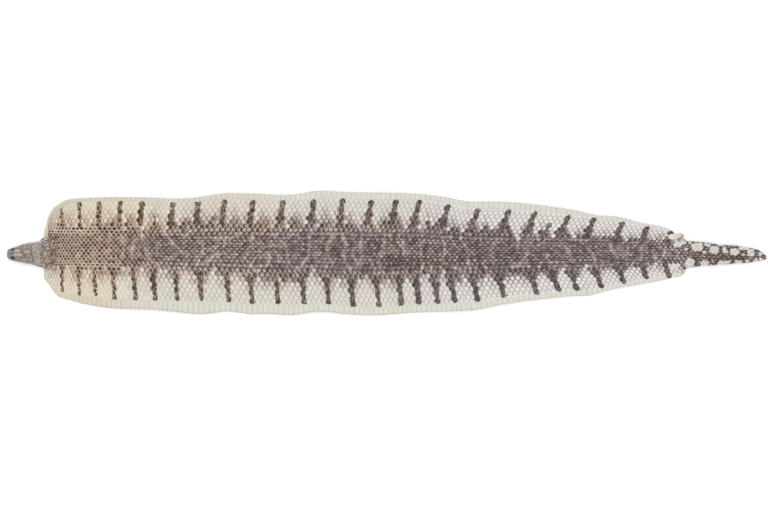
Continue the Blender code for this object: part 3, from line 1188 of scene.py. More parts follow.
@dataclass
class BellyPlates(Part):
    """The cut halves of the belly plates, side by side along one margin of the hide."""

    hide: Hide
    side: Side
    first: float = 47.0
    last: float = 655.0
    thickness: float = 0.55
    step_height: float = 0.32
    # Places of the columns of points within one plate, from its head side on, and how high they lie
    columns: tuple[float, ...] = (0.0, 0.12, 0.5, 0.9)
    rises: tuple[float, ...] = (0.0, 0.35, 0.7, 1.0)
    across: int = 4
    # How far the strip reaches under the scales, and how deep the notch between two plates is
    tuck: float = 0.6
    notch: float = 0.55

    def build(self) -> Piece:
        """Make the strip of plates as one closed mesh.

        Returns:
            The strip.
        """
        rows = self.hide.rows
        start, end = math.ceil(rows.count(self.first)), math.floor(rows.count(self.last))
        count = end - start
        per_plate = len(self.columns)
        sheet = Sheet.grid(count * per_plate, self.across)
        for vert in sheet.bm.verts:
            column = round(0.5 * (vert.co.x + 1.0) * count * per_plate)
            outward = 0.5 * (vert.co.y + 1.0)
            plate, part = divmod(column, per_plate)
            self.set_point(sheet, vert, rows.station(start + plate + self.columns[part]), part, outward)
        sheet.thicken(self.thickness)
        return sheet.piece(f"belly_plates_{self.side.name.lower()}")

    def set_point(self, sheet: Sheet, vert: Vert, row: float, part: int, outward: float) -> None:
        """Place one point of the strip.

        Args:
            sheet: The strip.
            vert: The point.
            row: Distance from the snout of the point's row in the middle of the skin.
            part: Which column of the plate it stands in.
            outward: 0 at the scales and 1 at the rim.
        """
        sign = self.side.value
        inner = self.hide.inner_width(row, self.side) - self.tuck
        station = row + markings.lean(row, sign * inner)
        notch = self.notch if part == 0 else 0.0
        rim = abs(solid.edge(station, self.side)) - 0.1 - notch
        limit = self.corner_width(station)
        inner = min(inner + notch * 0.8, rim - 1.0, limit)
        sideways = sign * mix(inner, rim, outward)
        rise = self.rises[part] * self.step_height
        sheet.mark(
            vert, groove=1.0 if part == 0 else 0.0, side=outward, luck=chance(3, round(row)),
            warm=markings.warmth(station, sideways),
        )
        sink = 0.12 + 0.3 * (1.0 - outward) ** 2
        vert.co = place(station, sideways, solid.height(station, sideways) - sink + rise)

    def corner_width(self, station: float) -> float:
        """Return how far sideways the neck cut lets the scales reach.

        Args:
            station: Distance from the snout.

        Returns:
            The distance in millimetres, without limit behind it.
        """
        corner = sorted(spot for spot in self.hide.neck_cut if spot[1] * self.side.value > 0.0)
        if station >= corner[-1][0]:
            return math.inf
        return float(np.interp(station, [s for s, _ in corner], [abs(y) for _, y in corner])) + 0.4

    def finish(self) -> bpy.types.Material:
        """Return the material of the plates."""
        return PlateFinish().material()


# Tail


@dataclass
class Tail(Part):
    """The closed tail, with scales all the way round."""

    rows: Rows
    relief: Relief = Relief(rim=0.08, lift=0.24, dome=0.12, keel=0.08)
    sunk: float = 0.3
    # How far the tail's front end is pushed down under the hide
    slide: float = 0.9

    def build(self) -> Piece:
        """Make the tail as one closed mesh.

        Returns:
            The tail.
        """
        tube = Tube(self.rows.first - 4.0, TAIL_TIP)
        bm = self.rows.lattice()
        cut(bm, (self.rows.count(self.rows.last), 0, 0), (1, 0, 0))
        self.rows.divide(bm)
        sheet = Sheet(bm)
        cells = bm.faces[:]
        for vert in bm.verts:
            along, across = vert.co.x, 2.0 * vert.co.y
            sheet.mark(vert, along=along, across=across)
            station = self.rows.station(along)
            girth = self.girth(tube, station)
            share = clamp(0.5 * across / self.rows.across(along), -0.5, 0.5)
            # The two long edges meet underneath
            if vert.is_boundary and abs(share) > 0.46:
                share = math.copysign(0.5, share)
            vert.co = Vector((station, share * girth, 0.0))
        carve_scales(sheet, cells, self.rows, self.relief)
        for vert in bm.verts:
            station, arc, relief = vert.co
            station = min(station, self.rows.last)
            slide = self.slide * (1.0 - smooth(self.rows.first + 3.0, self.rows.first + 8.0, station))
            share = clamp(arc / self.girth(tube, station), -0.5, 0.5)
            sideways, height = tube.point(tube.ring(station), share, relief - self.sunk - slide)
            self.paint(sheet, vert, station, sideways, share)
            vert.co = place(station, sideways, height)
        bmesh.ops.remove_doubles(bm, verts=[v for v in bm.verts if v.is_boundary], dist=0.02 * MM)
        sheet.close_ends()
        return sheet.piece("tail")

    @staticmethod
    def girth(tube: Tube, station: float) -> float:
        """Return the distance round the tail at a station."""
        ring = tube.ring(station)
        return float(np.hypot(*np.diff(ring, axis=0).T).sum())

    def paint(self, sheet: Sheet, vert: Vert, station: float, sideways: float, share: float) -> None:
        """Store how the tail's markings cover a point.

        Args:
            sheet: The tail in the making.
            vert: The point.
            station: Distance from the snout.
            sideways: Distance from the middle line.
            share: 0 on top, 0.5 and -0.5 underneath.
        """
        under = smooth(0.28, 0.36, abs(share))
        tip = smooth(753.0, 756.0, station + 0.4 * abs(sideways + 5.0))
        back = markings.patched(1.1, station, sideways)
        back = mix(mix(back, 1.1, tip * smooth(756.0, 757.5, station)), -1.2, under)
        sheet.mark(vert, back=back, bar=0.0, light=0.0, warm=0.15)

    def finish(self) -> bpy.types.Material:
        """Return the material of the tail's scales."""
        return ScaleFinish(name="tail_scales").material()


@dataclass
class Flap(Part):
    """A torn scrap of thin skin that stands up a little at its free end."""

    name: str
    low: Curve
    high: Curve
    shade: Colour
    rise: float = 1.0
    thickness: float = 0.35
    along: int = 30
    across: int = 14
    fray: float = 0.45

    def build(self) -> Piece:
        """Make the scrap as one closed mesh.

        Returns:
            The scrap.
        """
        first, last = self.low.places[0], self.low.places[-1]
        sheet = Sheet.grid(self.along, self.across)
        for vert in sheet.bm.verts:
            share, beside = 0.5 * (vert.co.x + 1.0), 0.5 * (vert.co.y + 1.0)
            station = mix(first, last, share)
            sideways = mix(self.low(station), self.high(station), beside)
            edge = abs(2.0 * beside - 1.0) ** 2 * ripple(0.9, station, sideways, 17.0)
            tip = share ** 4 * ripple(0.8, sideways, 19.0)
            station, sideways = station + 2.0 * self.fray * tip, sideways + self.fray * edge
            curl = self.rise * share * share + 0.3 * ripple(2.2, station, sideways, 11.0) + 0.45
            sheet.mark(vert, radius=0.3, luck=0.5, side=beside)
            vert.co = place(station, sideways, solid.height(station, sideways) + curl)
        sheet.thicken(self.thickness)
        return sheet.piece(self.name)

    def finish(self) -> bpy.types.Material:
        """Return the material of the torn skin."""
        return TornFinish(self.name, self.shade).material()


# Head


@dataclass
class Head(Part):
    """The head and the folded skin of the neck behind it."""

    end: float = 41.6
    closed_end: float = 30.0
    spacing: float = 0.32
    around: int = 170
    neck_right: Curve = Curve((30.0, 10.3), (34.0, 11.0), (38.0, 12.2), (41.6, 13.2))
    neck_left: Curve = Curve((30.0, -13.4), (34.0, -14.6), (38.0, -16.0), (41.6, -16.6))
    # Shields on the crown: distance from the snout, sideways, push outwards, squeeze along the head
    shields: tuple[tuple[float, float, float, float], ...] = (
        (0.6, -1.6, 0.0, 1.0), (2.8, 0.4, 0.2, 1.0), (2.8, -3.4, 0.2, 1.0), (5.8, 0.6, 0.3, 1.0),
        (5.6, -3.0, 0.3, 1.0), (8.0, 4.4, 0.0, 0.8), (8.0, -6.6, 0.0, 0.8), (12.0, -2.3, 1.5, 0.45),
        (11.4, 1.7, 0.9, 0.45), (11.2, -5.6, 0.6, 0.45), (20.6, 0.7, 1.3, 0.5), (21.6, -3.4, 0.9, 0.55),
    )
    # How far apart the small scales stand, and how far they stray
    small: float = 1.75
    stray: float = 0.6
    # Dark crease behind the crown, a dip painted dark as its shade, as (sideways, distance from the snout)
    crease: Curve = Curve((-11.0, 26.2), (-8.5, 27.1), (-5.5, 27.0), (-2.0, 26.0), (0.5, 24.8), (4.5, 26.9))
    nostrils: tuple[Point2, ...] = ((2.2, 0.4), (2.2, -3.2))
    sites: np.ndarray = field(init=False)

    def __post_init__(self) -> None:
        """Set the middles of the shields and of the small scales round them."""
        rows = [*self.shields]
        for i, station in enumerate(np.arange(1.0, self.end, self.small)):
            for j, sideways in enumerate(np.arange(-18.0, 15.0, self.small)):
                x = station + 0.5 * self.small * (j % 2) + self.stray * (chance(21, i, j) - 0.5)
                y = sideways + self.stray * (chance(22, i, j) - 0.5)
                gaps = (math.hypot(k * (x - s), y - side) - push for s, side, push, k in self.shields)
                if min(gaps) > 0.55 * self.small and (x > 9.0 or abs(y + 1.5) > 4.5):
                    rows.append((x, y, 0.0, 1.0))
        self.sites = np.array(rows)

    def shield(self, station: float, sideways: float) -> tuple[float, float]:
        """Return how close a place lies to a seam, from 0 to 1, and the luck of its shield.

        Args:
            station: Distance from the snout.
            sideways: Distance from the middle line.

        Returns:
            The closeness and the luck.
        """
        bend = 0.3 * ripple(1.5, station, sideways, 5.0)
        off_x = (station + bend - self.sites[:, 0]) * self.sites[:, 3]
        gaps = np.hypot(off_x, sideways + bend - self.sites[:, 1]) - self.sites[:, 2]
        first, second = np.argpartition(gaps, 1)[:2]
        wide = 1.5 if min(first, second) < len(self.shields) else 1.0
        seam = 1.0 - smooth(0.15 * wide, 0.95 * wide, abs(gaps[second] - gaps[first]))
        return seam, chance(23, float(self.sites[first, 0]))

    def fold(self, station: float, sideways: float) -> tuple[float, float, float]:
        """Return the folds behind the head.

        Args:
            station: Distance from the snout.
            sideways: Distance from the middle line.

        Returns:
            How deep the dark crease is, how pale the smooth bands are and how far the
            skin is wrinkled, each from 0 to 1.
        """
        wave = 0.7 * ripple(2.2, station, sideways, 15.0)
        ends = smooth(-12.5, -9.5, sideways) * (1.0 - smooth(3.0, 5.5, sideways))
        crease = math.exp(-((station + wave - self.crease(sideways)) / 0.85) ** 2) * ends
        slant = 0.8 * (-0.2 - sideways) + 28.8 - station + 3.5
        band = min(station - 28.0, 33.0 - station, -0.8 - sideways, slant)
        upper = min(station - 27.0, 31.5 - station, sideways - 0.8, 7.5 - sideways) - 0.5
        pale = max(smooth(-0.8, 0.8, band + wave), 0.5 * smooth(-0.8, 0.8, upper + 2.0 * wave))
        wrinkled = max(smooth(31.6, 33.6, station + 1.5 * wave), 0.6 * smooth(27.0, 28.5, station))
        return crease, pale, wrinkled * (1.0 - pale)

    def build(self) -> Piece:
        """Make the head as one closed mesh.

        Returns:
            The head.
        """
        tube = Tube(0.0, self.closed_end + 1.0)
        rows = round(self.end / self.spacing)
        sheet = Sheet.grid(rows, self.around)
        for vert in sheet.bm.verts:
            share_along = 0.5 * (vert.co.x + 1.0)
            self.set_point(sheet, vert, tube, self.end * share_along ** 1.25, 0.5 * vert.co.y)
        bmesh.ops.remove_doubles(sheet.bm, verts=sheet.bm.verts[:], dist=0.002 * MM)
        sheet.close_ends()
        return sheet.piece("head")

    def set_point(self, sheet: Sheet, vert: Vert, tube: Tube, station: float, share: float) -> None:
        """Place one point of the head.

        Args:
            sheet: The head in the making.
            vert: The point.
            tube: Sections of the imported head.
            station: Distance from the snout.
            share: 0 on top, 0.5 and -0.5 underneath.
        """
        ring = self.ring(tube, station)
        sideways = tube.point(ring, share, 0.0)[0]
        upper = 1.0 - smooth(0.24, 0.34, abs(share))
        seam, luck = self.shield(station, sideways)
        crease, pale, wrinkled = self.fold(station, sideways)
        seam *= upper * (1.0 - smooth(25.5, 28.0, station))
        wrinkles = ripple(2.1, station * 0.8, sideways * 1.3, 8.0) + 0.5 * ripple(0.9, station, sideways, 9.0)
        relief = 0.12 * luck - 0.22 * seam + 0.04 * ripple(0.7, station, sideways)
        relief += (0.5 * wrinkled * wrinkles - 0.5 * crease + 0.15 * pale) * upper
        for spot, middle in self.nostrils:
            relief -= 0.4 * math.exp(-((station - spot) ** 2 + (sideways - middle) ** 2) / 0.12) * upper
        sideways, height = tube.point(ring, share, relief)
        # groove holds the shields' seams and the crease, painted dark as its shade; radius holds the
        # wrinkles' heights, from which their painted shade and highlight are taken
        sheet.mark(
            vert, groove=max(seam, crease), radius=wrinkles, light=pale, smear=wrinkled, side=upper,
            luck=luck, warm=self.tan(station, sideways),
        )
        end = self.end - 1.6 * smooth(0.0, 15.0, abs(sideways + 1.5)) + 1.1 * ripple(2.4, sideways, 3.0)
        station -= (self.end - end) * smooth(34.0, self.end, station)
        vert.co = place(station, sideways, max(0.02, height))

    @staticmethod
    def tan(station: float, sideways: float) -> float:
        """Return how brown the skin of the head is, from 0 to 1.

        Args:
            station: Distance from the snout.
            sideways: Distance from the middle line.

        Returns:
            The share of brown.
        """
        patch = math.exp(-((station - 21.0) / 4.5) ** 2 - ((sideways + 0.5) / 3.6) ** 2)
        temple = -0.5 * smooth(3.0, 6.0, abs(sideways + 1.0)) * smooth(12.0, 16.0, station)
        neck = smooth(33.0, 39.0, station)
        return clamp(0.35 + 0.7 * patch + temple + 0.7 * neck + 0.2 * ripple(3.0, station, sideways))

    def ring(self, tube: Tube, station: float) -> np.ndarray:
        """Return the ring of points round the head or the neck.

        Args:
            tube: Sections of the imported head.
            station: Distance from the snout.

        Returns:
            Sideways places and heights.
        """
        if station <= self.closed_end:
            return tube.ring(station)
        base = tube.ring(self.closed_end)
        high, right, left = base[:, 1].max(), base[:, 0].max(), base[:, 0].min()
        share = (base[:, 0] - left) / (right - left)
        sideways = self.neck_left(station) + share * (self.neck_right(station) - self.neck_left(station))
        sunk = 0.45 - 0.75 * smooth(self.end - 3.0, self.end, station)
        heights = base[:, 1] / high * (solid.crown(station) + sunk)
        return np.stack([sideways, heights], axis=1)

    def finish(self) -> bpy.types.Material:
        """Return the material of the head."""
        return HeadFinish().material()


@dataclass
class Eye(Part):
    """A small dark eye under its brow."""

    side: Side
    spot: Point2
    turn: float
    length: float
    width: float
    depth: float = 1.5

    def build(self) -> Piece:
        """Make the eye as a flattened ball.

        Returns:
            The eye.
        """
        bm = bmesh.new()
        bmesh.ops.create_uvsphere(bm, u_segments=24, v_segments=12, radius=0.5)
        bmesh.ops.scale(bm, vec=(self.length, self.width, self.depth), verts=bm.verts)
        bmesh.ops.rotate(bm, verts=bm.verts, cent=(0, 0, 0), matrix=Matrix.Rotation(self.turn, 3, "Z"))
        height = solid.height(*self.spot) - 0.1 * self.depth
        bmesh.ops.scale(bm, vec=(MM, MM, MM), verts=bm.verts)
        bmesh.ops.translate(bm, verts=bm.verts, vec=place(*self.spot, height))
        return Sheet(bm).piece(f"eye_{self.side.name.lower()}")

    def finish(self) -> bpy.types.Material:
        """Return the material of the eye."""
        return EyeFinish().material()


# Materials


class Socket:
    """A shader output that takes part in sums and products."""

    def __init__(self, graph: "Graph", output: bpy.types.NodeSocket) -> None:
        """Wrap an output of a graph's node."""
        self.graph = graph
        self.output = output

    def math(self, operation: str, *others: "Socket | float", swap: bool = False) -> "Socket":
        """Return the output of a Math node fed by this socket and others.

        Args:
            operation: The node's operation.
            others: Its other inputs.
            swap: Whether the inputs go in backwards.

        Returns:
            The wrapped output.
        """
        values = [self, *others]
        if swap:
            values.reverse()
        inputs = dict(enumerate(values))
        return self.graph.node("ShaderNodeMath", {"operation": operation}, inputs)

    def __add__(self, other: "Socket | float") -> "Socket":
        """Return the sum."""
        return self.math("ADD", other)

    def __sub__(self, other: "Socket | float") -> "Socket":
        """Return the difference."""
        return self.math("SUBTRACT", other)

    def __mul__(self, other: "Socket | float") -> "Socket":
        """Return the product."""
        return self.math("MULTIPLY", other)

    def __rsub__(self, other: float) -> "Socket":
        """Return a number less this socket."""
        return self.math("SUBTRACT", other, swap=True)

    __radd__ = __add__
    __rmul__ = __mul__

    def step(self, low: float, high: float) -> "Socket":
        """Return a soft step from 0 at low to 1 at high.

        Args:
            low: Where it starts.
            high: Where it ends.

        Returns:
            The step, level beyond both ends.
        """
        settings = {"interpolation_type": "SMOOTHSTEP", "clamp": True}
        inputs = {"Value": self, "From Min": low, "From Max": high}
        return self.graph.node("ShaderNodeMapRange", settings, inputs)

    def toward(self, other: "Socket | float", share: "Socket | float") -> "Socket":
        """Return the value at this share of the way from this socket to another."""
        settings = {"data_type": "FLOAT", "clamp_factor": True}
        return self.graph.node("ShaderNodeMix", settings, {0: share, 2: self, 3: other})


class Graph:
    """The nodes of one material."""

    def __init__(self, name: str) -> None:
        """Make a material with a principled shader.

        Args:
            name: The material's name.
        """
        self.material = bpy.data.materials.new(name)
        self.material.use_nodes = True
        self.tree = self.material.node_tree
        self.shader = self.tree.nodes["Principled BSDF"]

    def node(self, kind: str, settings: dict, inputs: dict, output: int | str = 0) -> Socket:
        """Add a node.

        Args:
            kind: Type of the node.
            settings: Its properties, set first; ``stops`` are a ramp's places and colours.
            inputs: Values or sockets for its inputs, by name or index.
            output: Which output is returned.

        Returns:
            The wrapped output.
        """
        made = self.tree.nodes.new(kind)
        for key, value in settings.items():
            if key == "stops":
                self.set_stops(made.color_ramp.elements, value)
            else:
                setattr(made, key, value)
        for key, value in inputs.items():
            self.feed(made.inputs[key], value)
        return Socket(self, made.outputs[output])

    @staticmethod
    def set_stops(elements: bpy.types.ColorRampElements, stops: Stops) -> None:
        """Give a ramp its places and colours.

        Args:
            elements: The ramp's own stops.
            stops: What they are set to.
        """
        while len(elements) < len(stops):
            elements.new(0.5)
        for element, (spot, colour) in zip(elements, stops):
            element.position = spot
            element.color = (*colour, 1.0)

    def feed(self, socket: bpy.types.NodeSocket, value: "Socket | float | Colour") -> None:
        """Link a socket to an output, or set its value.

        Args:
            socket: The node's input.
            value: What it is fed.
        """
        if isinstance(value, Socket):
            self.tree.links.new(value.output, socket)
        elif isinstance(value, tuple) and len(value) == 3 and socket.type == "RGBA":
            socket.default_value = (*value, 1.0)
        else:
            socket.default_value = value

    def attribute(self, name: str) -> Socket:
        """Return a number that the mesh carries."""
        return self.node("ShaderNodeAttribute", {"attribute_name": name}, {}, "Fac")

    def station(self) -> Socket:
        """Return the distance from the snout in millimetres.

        Returns:
            The distance at the place on the piece.
        """
        at = self.node("ShaderNodeTexCoord", {}, {}, "Object")
        along = self.node("ShaderNodeSeparateXYZ", {}, {0: at}, 0)
        return along * (1.0 / MM) - SNOUT_X

    def noise(self, scale: float, detail: float = 2.0, stretch: Sequence[float] = (1.0, 1.0, 1.0)) -> Socket:
        """Return soft noise from 0 to 1.

        Args:
            scale: How many cells lie in a metre.
            detail: How many finer noises are added.
            stretch: How much closer the cells lie along each axis.

        Returns:
            The noise at the place on the piece.
        """
        at = self.node("ShaderNodeTexCoord", {}, {}, "Object")
        stretched = self.node("ShaderNodeMapping", {}, {"Vector": at, "Scale": tuple(stretch)})
        return self.node("ShaderNodeTexNoise", {}, {"Vector": stretched, "Scale": scale, "Detail": detail})

    def ramp(self, share: Socket, stops: Stops) -> Socket:
        """Return a colour that runs through stops."""
        return self.node("ShaderNodeValToRGB", {"stops": stops}, {0: share})

    def blend(
        self, share: Socket | float, first: Socket | Colour, second: Socket | Colour, how: str = "MIX",
    ) -> Socket:
        """Return a mix of two colours.

        Args:
            share: How far the second colour counts.
            first: The colour where it doesn't.
            second: The colour that is mixed in.
            how: The way of mixing, as the node names it.

        Returns:
            The mixed colour.
        """
        settings = {"data_type": "RGBA", "blend_type": how, "clamp_factor": True}
        return self.node("ShaderNodeMix", settings, {0: share, 6: first, 7: second}, 2)

    def bump(self, height: Socket, strength: float, distance: float) -> Socket:
        """Return a normal that follows small heights."""
        inputs = {"Strength": strength, "Distance": distance, "Height": height}
        return self.node("ShaderNodeBump", {}, inputs)

    def set(self, **inputs: "Socket | float | Colour") -> bpy.types.Material:
        """Feed the shader, with underscores for the spaces in its sockets' names.

        Args:
            inputs: Values or sockets, by the shader's inputs.

        Returns:
            The finished material.
        """
        for key, value in inputs.items():
            self.feed(self.shader.inputs[key.replace("_", " ")], value)
        return self.material


class ScaleFields:
    """What the tone of the scales depends on, as sockets of one material."""

    def __init__(self, g: Graph) -> None:
        """Read what the mesh carries and work out what several tones share.

        Args:
            g: The material's nodes.
        """
        # Place within the scale: 1 at its rim, and -1 to 1 from its head side and across it
        self.radius, self.fore, self.side = g.attribute("radius"), g.attribute("fore"), g.attribute("side")
        self.across = self.side.math("ABSOLUTE")
        self.hexagon, self.luck = g.attribute("hexagon"), g.attribute("luck") - 0.5
        self.station = g.station()
        self.mottle, self.flecks = g.noise(800.0, 2.0) - 0.5, g.noise(230.0, 1.0) - 0.5
        # The stretches towards the head and towards the tail
        self.front = 1.0 - (self.station + self.luck * 60.0).step(104.0, 152.0)
        self.rear = self.station.step(380.0, 520.0)
        self.depth = g.attribute("back") + self.luck * 0.22
        # Waves that peak in the middle of each row of scales
        self.lines = (g.attribute("across") * math.tau).math("COSINE")
        # The darker half of each scale
        tilt = (self.luck * 37.0).math("SINE").toward(-0.9, self.front)
        self.shaded = (self.side * tilt * 0.9 - self.fore * (1.0 - self.front * 0.5)).step(-0.6, 0.5)


@dataclass(frozen=True)
class ScaleFinish:
    """Dry scales whose tone runs from pale to dark as the markings say."""

    name: str = "scales"
    cool: Stops = (
        (0.0, srgb(228, 226, 220)), (0.3, srgb(184, 175, 170)),
        (0.6, srgb(131, 116, 113)), (1.0, srgb(58, 46, 45)),
    )
    warm: Stops = (
        (0.0, srgb(224, 214, 195)), (0.3, srgb(191, 168, 149)),
        (0.6, srgb(134, 107, 90)), (1.0, srgb(50, 27, 14)),
    )
    olive: Stops = (
        (0.0, srgb(224, 214, 195)), (0.3, srgb(194, 182, 162)),
        (0.6, srgb(146, 128, 108)), (1.0, srgb(54, 34, 18)),
    )
    # The flesh side, where the dark back shows through a little
    flesh: Colour = srgb(207, 196, 175)
    flesh_dark: Colour = srgb(170, 157, 140)
    roughness: float = 0.52

    def tone(self, g: Graph) -> Socket:
        """Return how dark the skin is, from 0 for pale to 1.

        Args:
            g: The material's nodes.

        Returns:
            The tone, with the back, the flanks, the bars and the smear laid over each other.
        """
        f = ScaleFields(g)
        keeled = (1.0 - f.hexagon.step(0.15, 0.8)) * (f.station + f.luck * 60.0).step(220.0, 420.0)
        keeled = keeled * (1.0 - f.station.step(625.0, 660.0))
        back = self.scaled(g, f).toward(self.woven(g, f), keeled) + f.flecks * 0.35
        tone = self.flank(f).toward(back, (f.depth - f.front * 0.12).step(0.25, 0.72))
        patches = g.noise(45.0, 2.0) - 0.5
        tone = tone * (1.0 + patches * 0.4) * (1.0 - g.attribute("light") * 0.38) + f.luck * 0.05
        inside = (g.attribute("bar") + f.mottle * 0.5 + f.luck * 0.15).step(0.38, 0.62)
        tone = tone.toward(self.stem(f), inside)
        return tone.toward(0.73 + f.mottle * 2.4 + f.flecks * 1.2, g.attribute("smear") * 0.8)

    @staticmethod
    def scaled(g: Graph, f: ScaleFields) -> Socket:
        """Return the tone of the scales on the back and of the net between them.

        Towards the head the scales are dark dots on pale skin.  Further back they are dark
        rings with a light middle, in a pale net.

        Args:
            g: The material's nodes.
            f: What the tone depends on.

        Returns:
            The tone where there are no keels.
        """
        net = (f.radius + f.front * (f.across * 0.22 + 0.07) + f.hexagon * 0.06).step(0.84, 0.96)
        root = f.station.step(625.0, 662.0) * (1.0 - f.station.step(672.0, 684.0))
        pale = (1.0 - f.depth.step(0.62, 1.2)).math("MAXIMUM", f.hexagon.step(-0.1, 0.5) * 0.95)
        pale = pale * (1.0 - f.rear * 0.4)
        tip = f.fore.math("ABSOLUTE").step(0.55, 0.9) * (1.0 - f.across.step(0.12, 0.4))
        hollow = f.hexagon.step(0.1, 0.6)
        ring = (f.radius - f.fore * 0.22).step(0.17, 0.48) * (0.10 + hollow * 0.24)
        fill = 0.50 + f.station.step(180.0, 320.0) * 0.04 - hollow * 0.13 + f.shaded * 0.34
        fill = fill + ring - f.lines * (1.0 - f.hexagon) * 0.08
        fill = fill - tip * 0.40 + f.rear * 0.08 - root * 0.16
        dots = 0.66 + f.station.step(75.0, 125.0) * 0.09 + f.shaded * 0.28 + f.mottle * 1.3
        dots = dots - (1.0 - f.depth.step(0.4, 1.1)) * 0.14
        neck = 1.0 - f.station.step(60.0, 120.0)
        front_net = 0.41 - pale * 0.17 - neck * 0.12 + f.mottle * 0.9
        netting = 0.66 - pale * 0.46 - root * 0.10 + f.station.step(678.0, 690.0) * 0.12
        grain = g.noise(820.0, 1.0, (0.6, 1.0, 1.0)) - 0.5
        scale = fill.toward(dots, f.front) + f.luck * (0.32 + f.front * 0.08) + grain * 1.1
        return scale.toward(netting.toward(front_net, f.front), net)

    @staticmethod
    def woven(g: Graph, f: ScaleFields) -> Socket:
        """Return the tone along the middle of the back, where light keels make broken lines.

        Args:
            g: The material's nodes.
            f: What the tone depends on.

        Returns:
            The tone where the scales are keeled.
        """
        straight = f.station.step(470.0, 540.0) * 0.5
        ends = f.fore.math("ABSOLUTE").step(0.35, 0.95).math("MAXIMUM", f.radius.step(0.86, 1.0))
        between = 0.5 - f.lines * 0.5
        woven = 0.93 + f.rear * 0.05 - (1.0 - between) * (1.0 - ends * (1.0 - straight)) * 0.55
        woven = woven + between * (f.side.step(-0.3, 0.3) - 0.5) * 0.3
        woven = woven - f.hexagon.step(0.0, 0.3) * between * 0.25
        streaks = g.noise(800.0, 1.0, (0.3, 1.0, 1.0)) - 0.5
        return woven + streaks + f.luck * 0.3

    @staticmethod
    def flank(f: ScaleFields) -> Socket:
        """Return the tone of the flanks: pale scales with a thin outline and painted shade on their head
        side, darkest near the back.

        Args:
            f: What the tone depends on.

        Returns:
            The tone outside the dark back and the bars.
        """
        near = f.depth.step(-1.0, 0.6)
        outline = 0.33 + f.rear * 0.20 + near * (0.38 + f.rear * 0.16) - f.front * 0.19
        outline = outline - f.station.step(656.0, 664.0) * 0.26
        core = 0.075 - f.front * 0.035 - f.rear * 0.045 + f.station.step(672.0, 684.0) * 0.045 + near * 0.10
        # Painted shade: the head side of each flank scale is darker inside its rim
        painted_head_side_shade = 1.0 - f.fore.step(-0.55, 0.15)
        core = core + painted_head_side_shade * f.radius.step(0.3, 0.8) * (0.14 - f.front * 0.09 + near * 0.34)
        return core.toward(outline, f.radius.step(0.80, 0.97)) + f.luck * near * 0.2

    @staticmethod
    def stem(f: ScaleFields) -> Socket:
        """Return the tone of the bars: dark scales with lighter seams.

        Args:
            f: What the tone depends on.

        Returns:
            The tone inside a bar.
        """
        stem = 0.72 + f.front * 0.04 + f.shaded * 0.26 + f.luck * 0.3 + f.mottle * 1.7
        seam = 0.42 + f.rear * 0.20 - f.front * 0.26 + f.mottle * 0.9
        return stem.toward(seam, (f.radius + f.front * 0.06).step(0.84, 0.96) * (0.7 + f.front * 0.22))

    def material(self) -> bpy.types.Material:
        """Make the material.

        Returns:
            The finished material.
        """
        g = Graph(self.name)
        tone = self.tone(g)
        rear = g.station().step(330.0, 480.0)
        browned = g.attribute("warm") + (1.0 - g.station().step(60.0, 150.0)) * 0.35
        browned = browned + (1.0 - rear) * (g.attribute("hexagon") * 0.09 + g.attribute("bar") * 0.3)
        reddened = g.attribute("back").step(-0.4, 0.3) - g.attribute("smear")
        tanned = g.blend(reddened, g.ramp(tone, self.olive), g.ramp(tone, self.warm))
        colour = g.blend(browned, g.ramp(tone, self.cool), tanned)
        shown = g.attribute("back").step(0.0, 0.9) * 0.7 + g.attribute("bar") * 0.4
        inner = g.blend(shown + (g.noise(90.0, 3.0) - 0.5) * 0.7, self.flesh, self.flesh_dark)
        colour = g.blend(g.attribute("under").step(0.05, 0.5), colour, inner)
        grain = g.noise(2600.0, 2.0, (0.35, 1.0, 1.0))
        roughness = self.roughness + (g.noise(900.0, 3.0) - 0.5) * 0.16 + g.attribute("radius") * 0.1
        return g.set(
            Base_Color=colour, Roughness=roughness, Specular_IOR_Level=0.32,
            Normal=g.bump(grain, 0.25, 0.0002),
        )


@dataclass(frozen=True)
class PlateFinish:
    """Smooth pale belly plates with a grey brown seam between each two."""

    pale: Colour = srgb(218, 215, 205)
    pale_warm: Colour = srgb(211, 203, 184)
    seam: Colour = srgb(158, 153, 144)
    cloud: Colour = srgb(214, 208, 194)
    roughness: float = 0.42

    def material(self) -> bpy.types.Material:
        """Make the material.

        Returns:
            The finished material.
        """
        g = Graph("belly_plates")
        plain = g.blend(g.attribute("warm"), self.pale, self.pale_warm)
        clouds = g.noise(240.0, 3.0, (1.0, 0.4, 1.0))
        plain = g.blend((clouds - 0.4) * 0.5, plain, self.cloud, "MULTIPLY")
        colour = g.blend(g.attribute("groove").step(0.25, 1.0) * 0.8, plain, self.seam)
        roughness = self.roughness + (clouds - 0.5) * 0.2
        streaks = g.noise(1800.0, 2.0, (1.0, 0.15, 1.0))
        return g.set(
            Base_Color=colour, Roughness=roughness, Specular_IOR_Level=0.4,
            Normal=g.bump(streaks, 0.2, 0.0002),
        )


